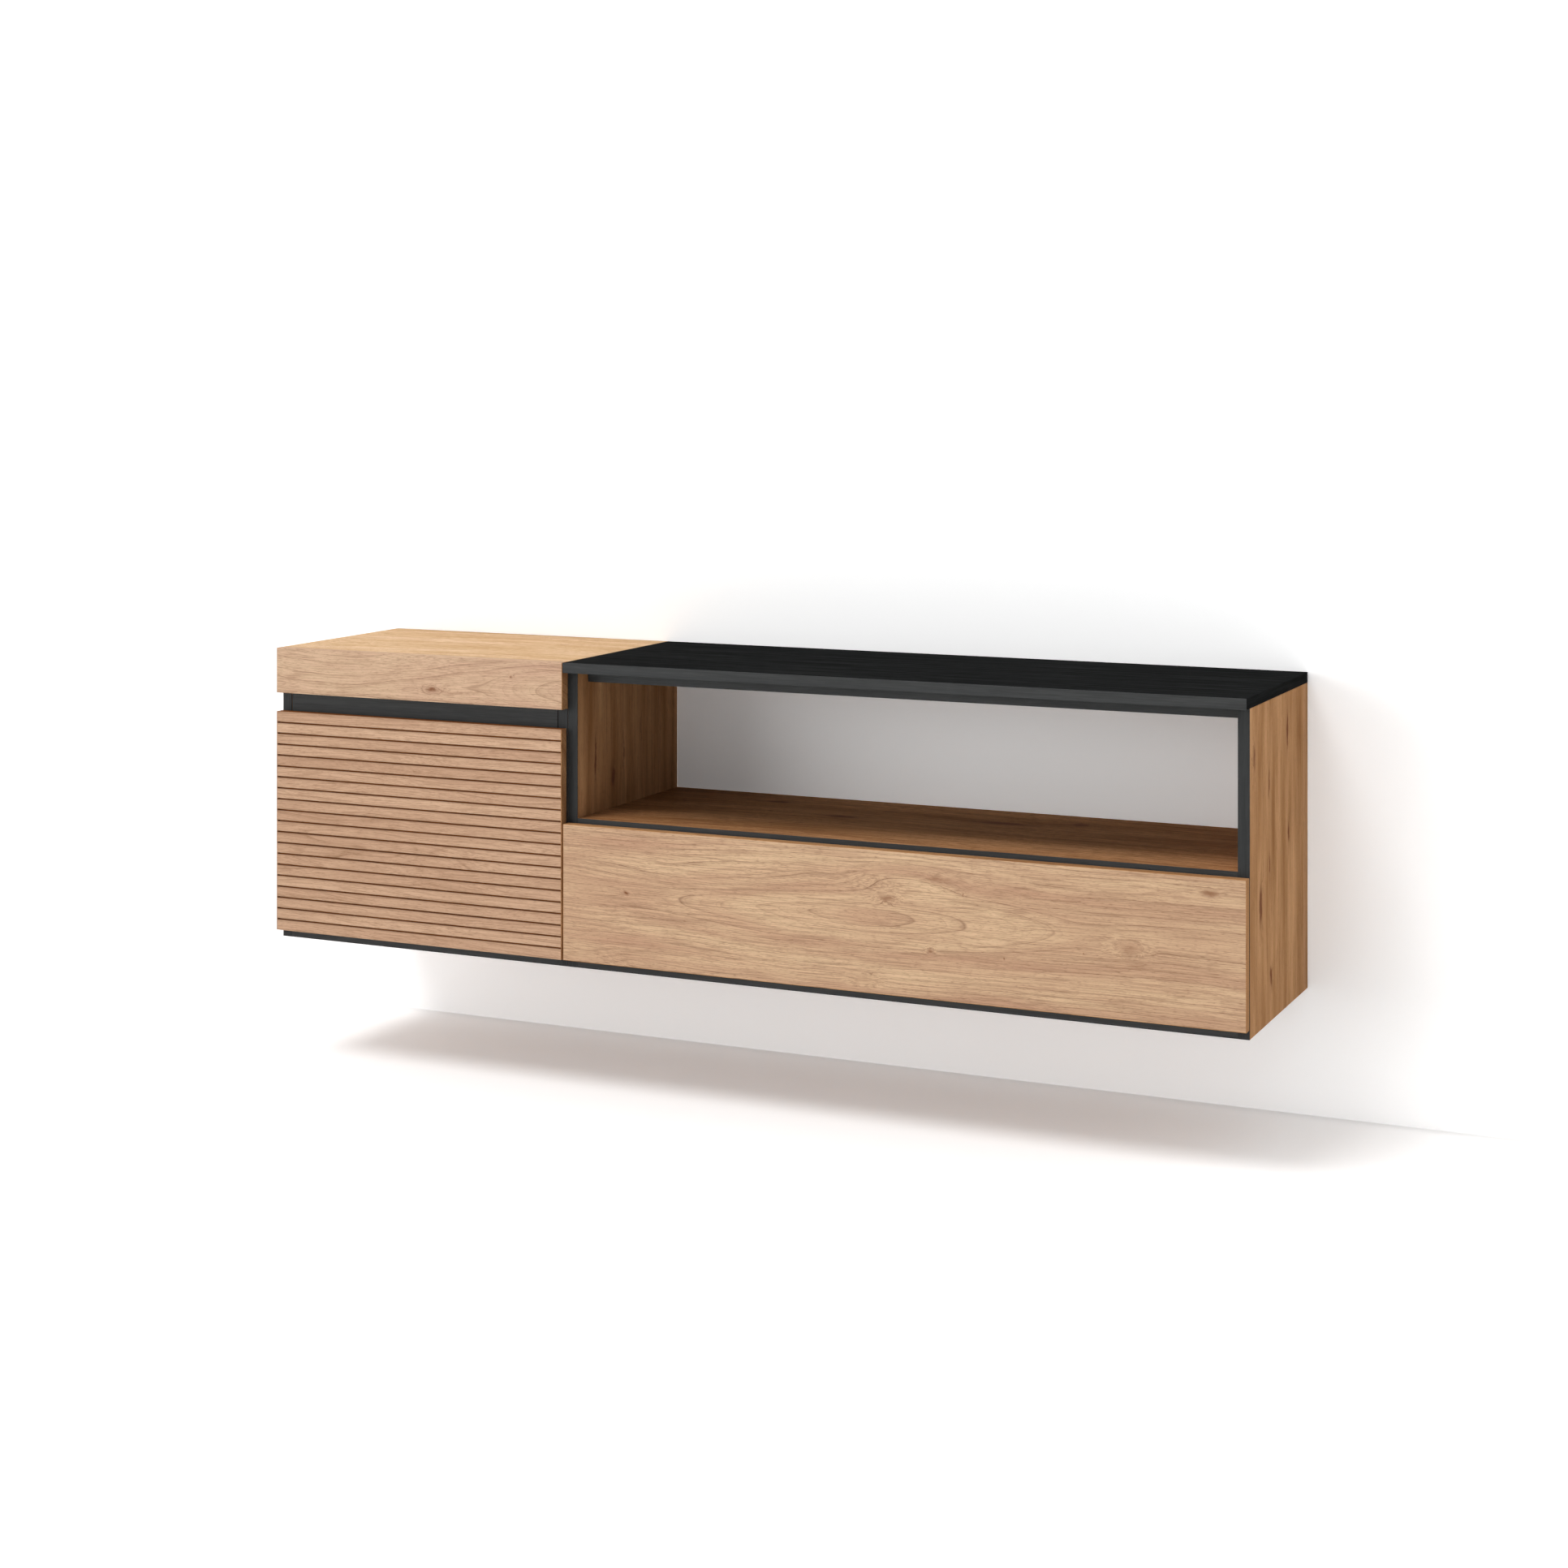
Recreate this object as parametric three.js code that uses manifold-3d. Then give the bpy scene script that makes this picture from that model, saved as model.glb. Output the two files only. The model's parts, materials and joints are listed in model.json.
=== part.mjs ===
// A floating media console: two board carcasses that hang side by side on a wall.
// The left one has a slatted side-hung door, the right one an open niche above a drop flap.
// Millimetres. X runs to the right along the wall, Y points into the wall, Z points up.
// The origin is on the wall, at the middle of the console's underside.
import * as THREE from "three";
import { mergeVertices } from "three/addons/utils/BufferGeometryUtils.js";
import Module from "manifold-3d";

const wasm = await Module();
wasm.setup();

// Whole console
const overallWidth = 1530;
const overallHeight = 450;
const overallDepth = 340;
const leftModuleWidth = 506.5;
const moduleGap = 0.5;

// Boards
const panelThickness = 16;
const blackTopThickness = 15;
const frontThickness = 15;
const closingGap = 2;
const backThickness = 3;
const backInset = 14;
const seatGap = 0.3;

// Fronts
const frontLift = 13;
const frontSeamGap = 1;
const fasciaHeight = 69.5;
const gripRecessHeight = 29;
const gripRailLap = 12;
const flapHeight = 200;
const nicheFloorStep = 7;

// Slatted door face
const slatCount = 20;
const slatGrooveWidth = 2.5;
const slatGrooveDepth = 4;
const edgeBandThickness = 1;

// Rails under the black top
const nicheRailSetback = 30;
const nicheRailHeight = 17;
const hangingRailHeight = 45;

// Loose shelf, whose top lies above the middle of the door, and its pins
const shelfRise = 42.75;
const shelfFrontSetback = 20;
const shelfBackGap = 3;
const shelfSideGap = 0.5;
const shelfPinRadius = 2.5;
const shelfPinLength = 10;
const shelfPinInset = 37;

// Concealed cup hinges
const cupRadius = 17.5;
const cupDepth = 9.5;
const cupWall = 0.6;
const cupFlangeThickness = 0.8;
const cupFlangeRim = 0.7;
const cupWingHalfLength = 30;
const cupWingNear = 5;
const cupWingFar = 14;
const pivotDepth = 7.4;
const knuckleRadius = 1.2;
const knuckleHalfLength = 4;
const knuckleGap = 0.7;
const neckTopOffset = 0.4;
const swingClearance = 0.3;
const hingePlateThickness = 3;
const armThickness = 2.4;
const armHalfWidth = 6;
const armDepth = 10;
const armReach = 62;
const armBodyGap = 3;
const armBevel = 7;
const plateFront = 24;
const plateBack = 58;
const plateHalfWidth = 6;
const plateWingHalfWidth = 16;
const plateWingLength = 14;
const doorHingeInset = 60;
const flapHingeInset = 110;

// Brake stays of the flap
const stayReach = 100;
const stayPinSetback = 13.6;
const stayGuideAngle = THREE.MathUtils.degToRad(60);
const stayRodOffset = 10.5;
const stayRodRadius = 3;
const stayEyeRadius = 6;
const stayEyeThickness = 5;
const stayPinRadius = 2;
const stayStopRadius = 5;
const stayStopLength = 4;
const stayStopGap = 0.5;
const guideHalfLength = 10;
const guideHalfHeight = 7;
const guideWidth = 12;
const guideBoreGap = 0.4;
const guidePivotRadius = 3;
const guidePivotLength = 3.5;
const stayPlateThickness = 4;
const stayPlateHalfLength = 22;
const stayPlateHalfHeight = 13;
const stayLugThickness = 2.5;
const stayLugGap = 0.5;
const stayLugBase = 2;
const stayLugHalfHeight = 12;
const stayLugWidth = 14;

// Push latch of the flap
const latchLength = 60;
const latchHeight = 14;
const latchWidth = 16;
const latchSetback = 3;
const plungerRadius = 3.5;
const plungerLength = 18;
const plungerTravel = 3;
const strikeRadius = 9;
const strikeThickness = 1.2;

// Hangers inside the carcasses and the plates on the wall that they hook over
const hangerWidth = 24;
const hangerHeight = 44;
const hangerDepth = 30;
const hangerTopGap = 1;
const hookThickness = 3;
const hookDrop = 10;
const hookWallGap = 0.5;
const hookNotchGap = 1.5;
const wallPlateThickness = 2;
const wallPlateWidth = 40;
const wallPlateSideGap = 2;
const wallPlateHeight = 46;
const wallPlateLipGap = 4;
const wallPlateLipHeight = 8;

// Bolts that join the two carcasses
const boltRadius = 3.7;
const boltHoleRadius = 4;
const boltHeadRadius = 8;
const boltHeadHeight = 3;
const boltHeight = 150;
const boltFrontSetback = 123;
const boltBackSetback = 90;

// One overrun for all cuts, and the steps in half a turn of a round piece
const cutOverrun = 1;
const largeRoundSteps = 16;
const smallRoundSteps = 8;

// Finishes
const lightOak = { color: 0xcfa982, roughness: 0.55, metalness: 0 };
const topOak = { color: 0xdcb583, roughness: 0.5, metalness: 0 };
const slatOak = { color: 0xc6a07f, roughness: 0.6, metalness: 0 };
const blackBoard = { color: 0x2b2b2c, roughness: 0.55, metalness: 0 };
const whiteBoard = { color: 0xe4e2de, roughness: 0.7, metalness: 0 };
const nickel = { color: 0xbfc1c4, roughness: 0.3, metalness: 1 };
const zincSteel = { color: 0xa9adb1, roughness: 0.45, metalness: 1 };
const greyPlastic = { color: 0x8d9093, roughness: 0.6, metalness: 0 };

// Places that several pieces share
const frontFace = -overallDepth;
const frontBack = frontFace + frontThickness;
const carcassFront = frontBack + closingGap;
const backFront = -(backInset + backThickness);
const oakTopUnderside = overallHeight - panelThickness;
const blackTopUnderside = overallHeight - blackTopThickness;
const fasciaBottom = overallHeight - fasciaHeight;
const doorTop = fasciaBottom - gripRecessHeight;
const shelfTopHeight = (frontLift + doorTop) / 2 + shelfRise;
const flapTop = frontLift + flapHeight;
const nicheFloorTop = flapTop + nicheFloorStep;
const nicheFloorUnderside = nicheFloorTop - panelThickness;
const rightModuleStart = leftModuleWidth + moduleGap;
const rightModuleWidth = overallWidth - rightModuleStart;
const latchAxisHeight = nicheFloorUnderside - latchHeight / 2;
const strikeBack = frontBack + seatGap + strikeThickness;
const boltPlaces = [
  { y: carcassFront + boltFrontSetback, z: boltHeight },
  { y: -boltBackSetback, z: boltHeight },
];

// The hinge pivot lies inside the front's thickness. It is as far in from the front's edge
// as lets that edge turn past the carcass with the swing clearance left.
const pivotInset = Math.sqrt(2 * pivotDepth * closingGap + closingGap ** 2) - swingClearance;
const cupCentre = cupRadius - cupWall - knuckleRadius - knuckleGap;
const pivotY = frontBack - pivotDepth;
const flapPivotZ = frontLift + pivotInset;
const armFace = panelThickness - pivotInset + hingePlateThickness;

// A board between two places on each axis.
function board(name, finish, { x, y, z }) {
  const mesh = new THREE.Mesh(new THREE.BoxGeometry(1, 1, 1), new THREE.MeshStandardMaterial(finish));
  mesh.name = name;
  mesh.scale.set(x[1] - x[0], y[1] - y[0], z[1] - z[0]);
  mesh.position.set((x[0] + x[1]) / 2, (y[0] + y[1]) / 2, (z[0] + z[1]) / 2);
  return mesh;
}

function piece(name, finish, geometry) {
  const mesh = new THREE.Mesh(geometry, new THREE.MeshStandardMaterial(finish));
  mesh.name = name;
  return mesh;
}

function outline(points) {
  return new THREE.Shape(points.map(([a, b]) => new THREE.Vector2(a, b)));
}

function rectangle(a0, a1, b0, b1) {
  return outline([[a0, b0], [a1, b0], [a1, b1], [a0, b1]]);
}

function disc(a, b, radius) {
  const shape = new THREE.Shape();
  shape.absarc(a, b, radius, 0, 2 * Math.PI, false);
  return shape;
}

// A shape drawn out along one axis. It is drawn in y and z for x, in x and z for y, in x and y for z.
function drawnOut(axis, shape, [from, to], steps = smallRoundSteps) {
  const options = { depth: 1, bevelEnabled: false, curveSegments: steps };
  const geometry = new THREE.ExtrudeGeometry(shape, options);
  const length = to - from;
  const frames = {
    x: [[0, 1, 0], [0, 0, 1], [length, 0, 0], [from, 0, 0]],
    y: [[1, 0, 0], [0, 0, 1], [0, -length, 0], [0, to, 0]],
    z: [[1, 0, 0], [0, 1, 0], [0, 0, length], [0, 0, from]],
  };
  const [first, second, along, start] = frames[axis].map((v) => new THREE.Vector3(...v));
  const frame = new THREE.Matrix4().makeBasis(first, second, along).setPosition(start);
  return geometry.applyMatrix4(frame);
}

// A closed geometry as a solid that can be joined and cut.
function solid(geometry) {
  const bare = new THREE.BufferGeometry();
  bare.setAttribute("position", geometry.getAttribute("position"));
  bare.setIndex(geometry.getIndex());
  const merged = mergeVertices(bare);
  return new wasm.Manifold(
    new wasm.Mesh({
      numProp: 3,
      vertProperties: merged.getAttribute("position").array,
      triVerts: new Uint32Array(merged.getIndex().array),
    }),
  );
}

function shapeOf(manifold) {
  const mesh = manifold.getMesh();
  const geometry = new THREE.BufferGeometry();
  geometry.setAttribute("position", new THREE.BufferAttribute(mesh.vertProperties, 3));
  geometry.setIndex(new THREE.BufferAttribute(mesh.triVerts, 1));
  return geometry;
}

function joined(first, ...others) {
  const whole = others.reduce((sum, other) => sum.add(solid(other)), solid(first));
  return shapeOf(whole);
}

function cut(first, ...tools) {
  const whole = tools.reduce((rest, tool) => rest.subtract(solid(tool)), solid(first));
  return shapeOf(whole);
}

// A side panel with the clearance holes of the joining bolts.
function boltedSide(name, x, height) {
  const shape = rectangle(carcassFront, 0, 0, height);
  boltPlaces.forEach(({ y, z }) => shape.holes.push(disc(y, z, boltHoleRadius)));
  return piece(name, lightOak, drawnOut("x", shape, x));
}

// A board between the sides, with its upper corners notched for the hooks of the hangers.
function notchedBoard(name, finish, inside, z, y, notchBottom, clearance) {
  const left = inside[0] + clearance;
  const right = inside[1] - clearance;
  const bottom = z[0] + clearance;
  const top = z[1] - clearance;
  const notchLeft = inside[0] + hangerWidth + hookNotchGap;
  const notchRight = inside[1] - hangerWidth - hookNotchGap;
  const shape = outline([
    [left, bottom],
    [right, bottom],
    [right, notchBottom],
    [notchRight, notchBottom],
    [notchRight, top],
    [notchLeft, top],
    [notchLeft, notchBottom],
    [left, notchBottom],
  ]);
  return piece(name, finish, drawnOut("y", shape, y));
}

// Hanger and wall plate, for one top corner of a carcass. The hook passes over the plate's lip.
function hanging(name, x, plateX, underside, boxBack) {
  const hookTop = underside - hangerTopGap;
  const hookBottom = hookTop - hookThickness;
  const hookFront = -hookWallGap - hookThickness;
  const hanger = outline([
    [boxBack - hangerDepth, hookTop - hangerHeight],
    [boxBack, hookTop - hangerHeight],
    [boxBack, hookBottom],
    [hookFront, hookBottom],
    [hookFront, hookTop - hookDrop],
    [-hookWallGap, hookTop - hookDrop],
    [-hookWallGap, hookTop],
    [boxBack - hangerDepth, hookTop],
  ]);
  const lipTop = hookBottom - seatGap;
  const lipStep = lipTop - wallPlateLipHeight;
  const plateBottom = lipTop - wallPlateHeight;
  const lipFront = -wallPlateLipGap - wallPlateThickness;
  const plate = outline([
    [0, plateBottom],
    [0, lipStep],
    [-wallPlateLipGap, lipStep],
    [-wallPlateLipGap, lipTop],
    [lipFront, lipTop],
    [lipFront, lipStep - wallPlateThickness],
    [-wallPlateThickness, lipStep - wallPlateThickness],
    [-wallPlateThickness, plateBottom],
  ]);
  return [
    piece(`${name}_hanger`, zincSteel, drawnOut("x", hanger, x)),
    piece(`${name}_wall_plate`, zincSteel, drawnOut("x", plate, plateX)),
  ];
}

// Both hangers of a carcass, against the inner faces of its sides.
function hangingPair(name, inside, underside, boxBack) {
  const plateStart = inside[0] + wallPlateSideGap;
  const plateEnd = inside[1] - wallPlateSideGap;
  const leftPlate = [plateStart, plateStart + wallPlateWidth];
  const rightPlate = [plateEnd - wallPlateWidth, plateEnd];
  const leftHanger = [inside[0], inside[0] + hangerWidth];
  const rightHanger = [inside[1] - hangerWidth, inside[1]];
  return [
    ...hanging(`${name}_left`, leftHanger, leftPlate, underside, boxBack),
    ...hanging(`${name}_right`, rightHanger, rightPlate, underside, boxBack),
  ];
}

// Left carcass, in its own frame: x starts at its outer left face.
function leftModule() {
  const group = new THREE.Group();
  const sideDepth = [carcassFront, 0];
  const inside = [panelThickness, leftModuleWidth - panelThickness];
  const hookBottom = oakTopUnderside - hangerTopGap - hookThickness;
  const pinHeight = shelfTopHeight - panelThickness - seatGap - shelfPinRadius;
  const shelfFront = carcassFront + shelfFrontSetback;
  const shelfBack = backFront - shelfBackGap;
  group.add(
    board("left_side_panel", lightOak, { x: [0, inside[0]], y: sideDepth, z: [0, oakTopUnderside] }),
    boltedSide("left_seam_side_panel", [inside[1], leftModuleWidth], oakTopUnderside),
    board("left_bottom_panel", lightOak, { x: inside, y: sideDepth, z: [0, panelThickness] }),
    board("oak_top_panel", topOak, {
      x: [0, leftModuleWidth],
      y: sideDepth,
      z: [oakTopUnderside, overallHeight],
    }),
    board("oak_fascia", lightOak, {
      x: [0, leftModuleWidth],
      y: [frontFace, carcassFront],
      z: [fasciaBottom, overallHeight],
    }),
    board("black_grip_rail", blackBoard, {
      x: inside,
      y: [carcassFront, carcassFront + panelThickness],
      z: [doorTop - gripRailLap, fasciaBottom + gripRailLap],
    }),
    notchedBoard(
      "left_back_panel",
      whiteBoard,
      inside,
      [panelThickness, oakTopUnderside],
      [backFront, -backInset],
      hookBottom - hookNotchGap,
      seatGap,
    ),
    board("left_shelf", lightOak, {
      x: [inside[0] + shelfSideGap, inside[1] - shelfSideGap],
      y: [shelfFront, shelfBack],
      z: [shelfTopHeight - panelThickness, shelfTopHeight],
    }),
    ...hangingPair("left_module", inside, oakTopUnderside, backFront),
  );
  const pinSpans = {
    left: [inside[0], inside[0] + shelfPinLength],
    right: [inside[1] - shelfPinLength, inside[1]],
  };
  const pinRows = { front: shelfFront + shelfPinInset, back: shelfBack - shelfPinInset };
  Object.entries(pinSpans).forEach(([side, x]) => {
    Object.entries(pinRows).forEach(([row, y]) => {
      const shank = drawnOut("x", disc(y, pinHeight, shelfPinRadius), x);
      group.add(piece(`shelf_pin_${row}_${side}`, nickel, shank));
    });
  });
  return group;
}

// Right carcass, in its own frame: x starts at its left face, at the seam.
function rightModule() {
  const group = new THREE.Group();
  const sideDepth = [carcassFront, 0];
  const inside = [panelThickness, rightModuleWidth - panelThickness];
  const hookBottom = blackTopUnderside - hangerTopGap - hookThickness;
  const railFront = carcassFront + nicheRailSetback;
  const hangingRailFront = -backInset - panelThickness;
  const latchMiddle = rightModuleWidth / 2;
  const latchFront = carcassFront + latchSetback;
  const plungerTip = strikeBack + seatGap;
  const boreEnd = plungerTip + plungerLength + plungerTravel + cutOverrun;
  const latchBlock = drawnOut(
    "y",
    rectangle(
      latchMiddle - latchWidth / 2,
      latchMiddle + latchWidth / 2,
      nicheFloorUnderside - latchHeight,
      nicheFloorUnderside,
    ),
    [latchFront, latchFront + latchLength],
  );
  const latchBore = drawnOut(
    "y",
    disc(latchMiddle, latchAxisHeight, plungerRadius + seatGap),
    [latchFront - cutOverrun, boreEnd],
  );
  group.add(
    boltedSide("right_seam_side_panel", [0, inside[0]], blackTopUnderside),
    board("right_side_panel", lightOak, {
      x: [inside[1], rightModuleWidth],
      y: sideDepth,
      z: [0, blackTopUnderside],
    }),
    board("right_bottom_panel", lightOak, { x: inside, y: sideDepth, z: [0, panelThickness] }),
    board("niche_floor_panel", lightOak, {
      x: inside,
      y: sideDepth,
      z: [nicheFloorUnderside, nicheFloorTop],
    }),
    board("black_top_panel", blackBoard, {
      x: [0, rightModuleWidth],
      y: [frontFace, 0],
      z: [blackTopUnderside, overallHeight],
    }),
    board("black_niche_rail", blackBoard, {
      x: inside,
      y: [railFront, railFront + panelThickness],
      z: [blackTopUnderside - nicheRailHeight, blackTopUnderside],
    }),
    notchedBoard(
      "rear_hanging_rail",
      lightOak,
      inside,
      [blackTopUnderside - hangingRailHeight, blackTopUnderside],
      [hangingRailFront, -backInset],
      hookBottom - hookNotchGap,
      seatGap,
    ),
    board("lower_back_panel", whiteBoard, {
      x: [inside[0] + seatGap, inside[1] - seatGap],
      y: [backFront, -backInset],
      z: [panelThickness + seatGap, nicheFloorUnderside - seatGap],
    }),
    piece("push_latch_body", greyPlastic, cut(latchBlock, latchBore)),
    piece(
      "push_latch_plunger",
      nickel,
      drawnOut("y", disc(latchMiddle, latchAxisHeight, plungerRadius), [
        plungerTip,
        plungerTip + plungerLength,
      ]),
    ),
    ...hangingPair("right_module", inside, blackTopUnderside, hangingRailFront),
  );
  return group;
}

// Bolt through the two sides at the seam, with a head on each inner face.
function joiningBolt(name, { y, z }) {
  const grip = panelThickness + moduleGap / 2 + seatGap;
  const profile = [
    [0, -grip - boltHeadHeight],
    [boltHeadRadius, -grip - boltHeadHeight],
    [boltHeadRadius, -grip],
    [boltRadius, -grip],
    [boltRadius, grip],
    [boltHeadRadius, grip],
    [boltHeadRadius, grip + boltHeadHeight],
    [0, grip + boltHeadHeight],
  ].map(([r, along]) => new THREE.Vector2(r, along));
  const bolt = piece(name, nickel, new THREE.LatheGeometry(profile, 2 * smallRoundSteps));
  bolt.rotation.z = Math.PI / 2;
  bolt.position.set(leftModuleWidth + moduleGap / 2, y, z);
  return bolt;
}

// Hinge pieces are drawn about the pivot: x away from the hinged edge, y into the carcass.
function hingeCup(name) {
  const flangeFace = pivotDepth + seatGap;
  const flangeTop = flangeFace + cupFlangeThickness;
  const bottom = pivotDepth - cupDepth;
  const rim = disc(cupCentre, 0, cupRadius + cupFlangeRim);
  const wings = rectangle(
    cupCentre - cupWingNear,
    cupCentre + cupWingFar,
    -cupWingHalfLength,
    cupWingHalfLength,
  );
  const body = joined(
    drawnOut("y", disc(cupCentre, 0, cupRadius), [bottom, flangeTop], largeRoundSteps),
    drawnOut("y", rim, [flangeFace, flangeTop], largeRoundSteps),
    drawnOut("y", wings, [flangeFace, flangeTop]),
  );
  const mouth = disc(cupCentre, 0, cupRadius - cupWall);
  const hollow = drawnOut("y", mouth, [bottom + cupWall, flangeTop + cutOverrun], largeRoundSteps);
  return piece(name, nickel, cut(body, hollow));
}

function hingeArm(name) {
  const legBack = armFace + armThickness;
  const bodyFace = armFace + armDepth;
  const bodyFront = pivotDepth + closingGap + armBodyGap;
  const leg = outline([
    [armFace, -knuckleRadius],
    [legBack, -knuckleRadius],
    [legBack, bodyFront],
    [bodyFace, bodyFront + armBevel],
    [bodyFace, armReach - armBevel],
    [bodyFace - armBevel, armReach],
    [armFace, armReach],
  ]);
  const neck = rectangle(0, legBack, -knuckleRadius, neckTopOffset);
  const arm = joined(
    drawnOut("z", leg, [-armHalfWidth, armHalfWidth]),
    drawnOut("z", neck, [-knuckleHalfLength, knuckleHalfLength]),
    drawnOut("z", disc(0, 0, knuckleRadius), [-knuckleHalfLength, knuckleHalfLength]),
  );
  return piece(name, nickel, arm);
}

// A cross-shaped mounting plate between the panel and the arm.
function hingePlate(name, panelFace) {
  const wingFront = (plateFront + plateBack - plateWingLength) / 2;
  const wingBack = wingFront + plateWingLength;
  const cross = outline([
    [plateFront, -plateHalfWidth],
    [wingFront, -plateHalfWidth],
    [wingFront, -plateWingHalfWidth],
    [wingBack, -plateWingHalfWidth],
    [wingBack, -plateHalfWidth],
    [plateBack, -plateHalfWidth],
    [plateBack, plateHalfWidth],
    [wingBack, plateHalfWidth],
    [wingBack, plateWingHalfWidth],
    [wingFront, plateWingHalfWidth],
    [wingFront, plateHalfWidth],
    [plateFront, plateHalfWidth],
  ]);
  return piece(name, nickel, drawnOut("x", cross, [panelFace + seatGap, armFace - seatGap]));
}

// The hinge along the door's edge stands as drawn; the one along the flap's lower edge is turned.
function hinge(name, panelFace, place, turn) {
  const group = new THREE.Group();
  group.add(hingeCup(`${name}_cup`), hingeArm(`${name}_arm`), hingePlate(`${name}_plate`, panelFace));
  group.position.set(...place);
  group.rotation.y = turn;
  return group;
}

function cupHole(axisPlace) {
  const [x, z] = axisPlace;
  const span = [frontBack - cupDepth - seatGap, frontBack + cutOverrun];
  return drawnOut("y", disc(x, z, cupRadius + seatGap), span, largeRoundSteps);
}

// Slatted door in the left carcass's frame: a board grooved from end to end, with banded ends.
function slattedDoor() {
  const group = new THREE.Group();
  const width = leftModuleWidth - frontSeamGap;
  const pitch = (doorTop - frontLift) / slatCount;
  const face = [];
  for (let i = 0; i < slatCount; i += 1) {
    const low = frontLift + i * pitch + (i > 0 ? slatGrooveWidth / 2 : 0);
    const high = frontLift + (i + 1) * pitch - (i < slatCount - 1 ? slatGrooveWidth / 2 : 0);
    face.push([frontFace, low], [frontFace, high]);
    if (i < slatCount - 1) {
      face.push([frontFace + slatGrooveDepth, high]);
      face.push([frontFace + slatGrooveDepth, high + slatGrooveWidth]);
    }
  }
  const section = outline([...face, [frontBack, doorTop], [frontBack, frontLift]]);
  const ends = rectangle(frontFace, frontBack, frontLift, doorTop);
  const slats = joined(
    drawnOut("x", section, [0, width]),
    drawnOut("x", ends, [0, edgeBandThickness]),
    drawnOut("x", ends, [width - edgeBandThickness, width]),
  );
  const hingeHeights = [
    { name: "door_hinge_lower", z: frontLift + doorHingeInset },
    { name: "door_hinge_upper", z: doorTop - doorHingeInset },
  ];
  const holes = hingeHeights.map(({ z }) => cupHole([pivotInset + cupCentre, z]));
  group.add(piece("slatted_door", slatOak, cut(slats, ...holes)));
  const panelFace = panelThickness - pivotInset;
  hingeHeights.forEach(({ name, z }) => {
    group.add(hinge(name, panelFace, [pivotInset, pivotY, z], 0));
  });
  return group;
}

// Drop flap in the right carcass's frame, hinged along its lower edge.
function dropFlap() {
  const group = new THREE.Group();
  const width = [frontSeamGap, rightModuleWidth];
  const middle = (width[0] + width[1]) / 2;
  const hingePlaces = [
    { name: "flap_hinge_left", x: width[0] + flapHingeInset },
    { name: "flap_hinge_middle", x: middle },
    { name: "flap_hinge_right", x: width[1] - flapHingeInset },
  ];
  const blank = drawnOut("y", rectangle(width[0], width[1], frontLift, flapTop), [frontFace, frontBack]);
  const holes = hingePlaces.map(({ x }) => cupHole([x, flapPivotZ + cupCentre]));
  group.add(piece("drop_flap", lightOak, cut(blank, ...holes)));
  const panelFace = panelThickness - flapPivotZ;
  hingePlaces.forEach(({ name, x }) => {
    group.add(hinge(name, panelFace, [x, pivotY, flapPivotZ], -Math.PI / 2));
  });
  const strikeDisc = disc(rightModuleWidth / 2, latchAxisHeight, strikeRadius);
  const strike = drawnOut("y", strikeDisc, [frontBack + seatGap, strikeBack]);
  group.add(piece("push_latch_strike", zincSteel, strike));
  return group;
}

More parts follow.
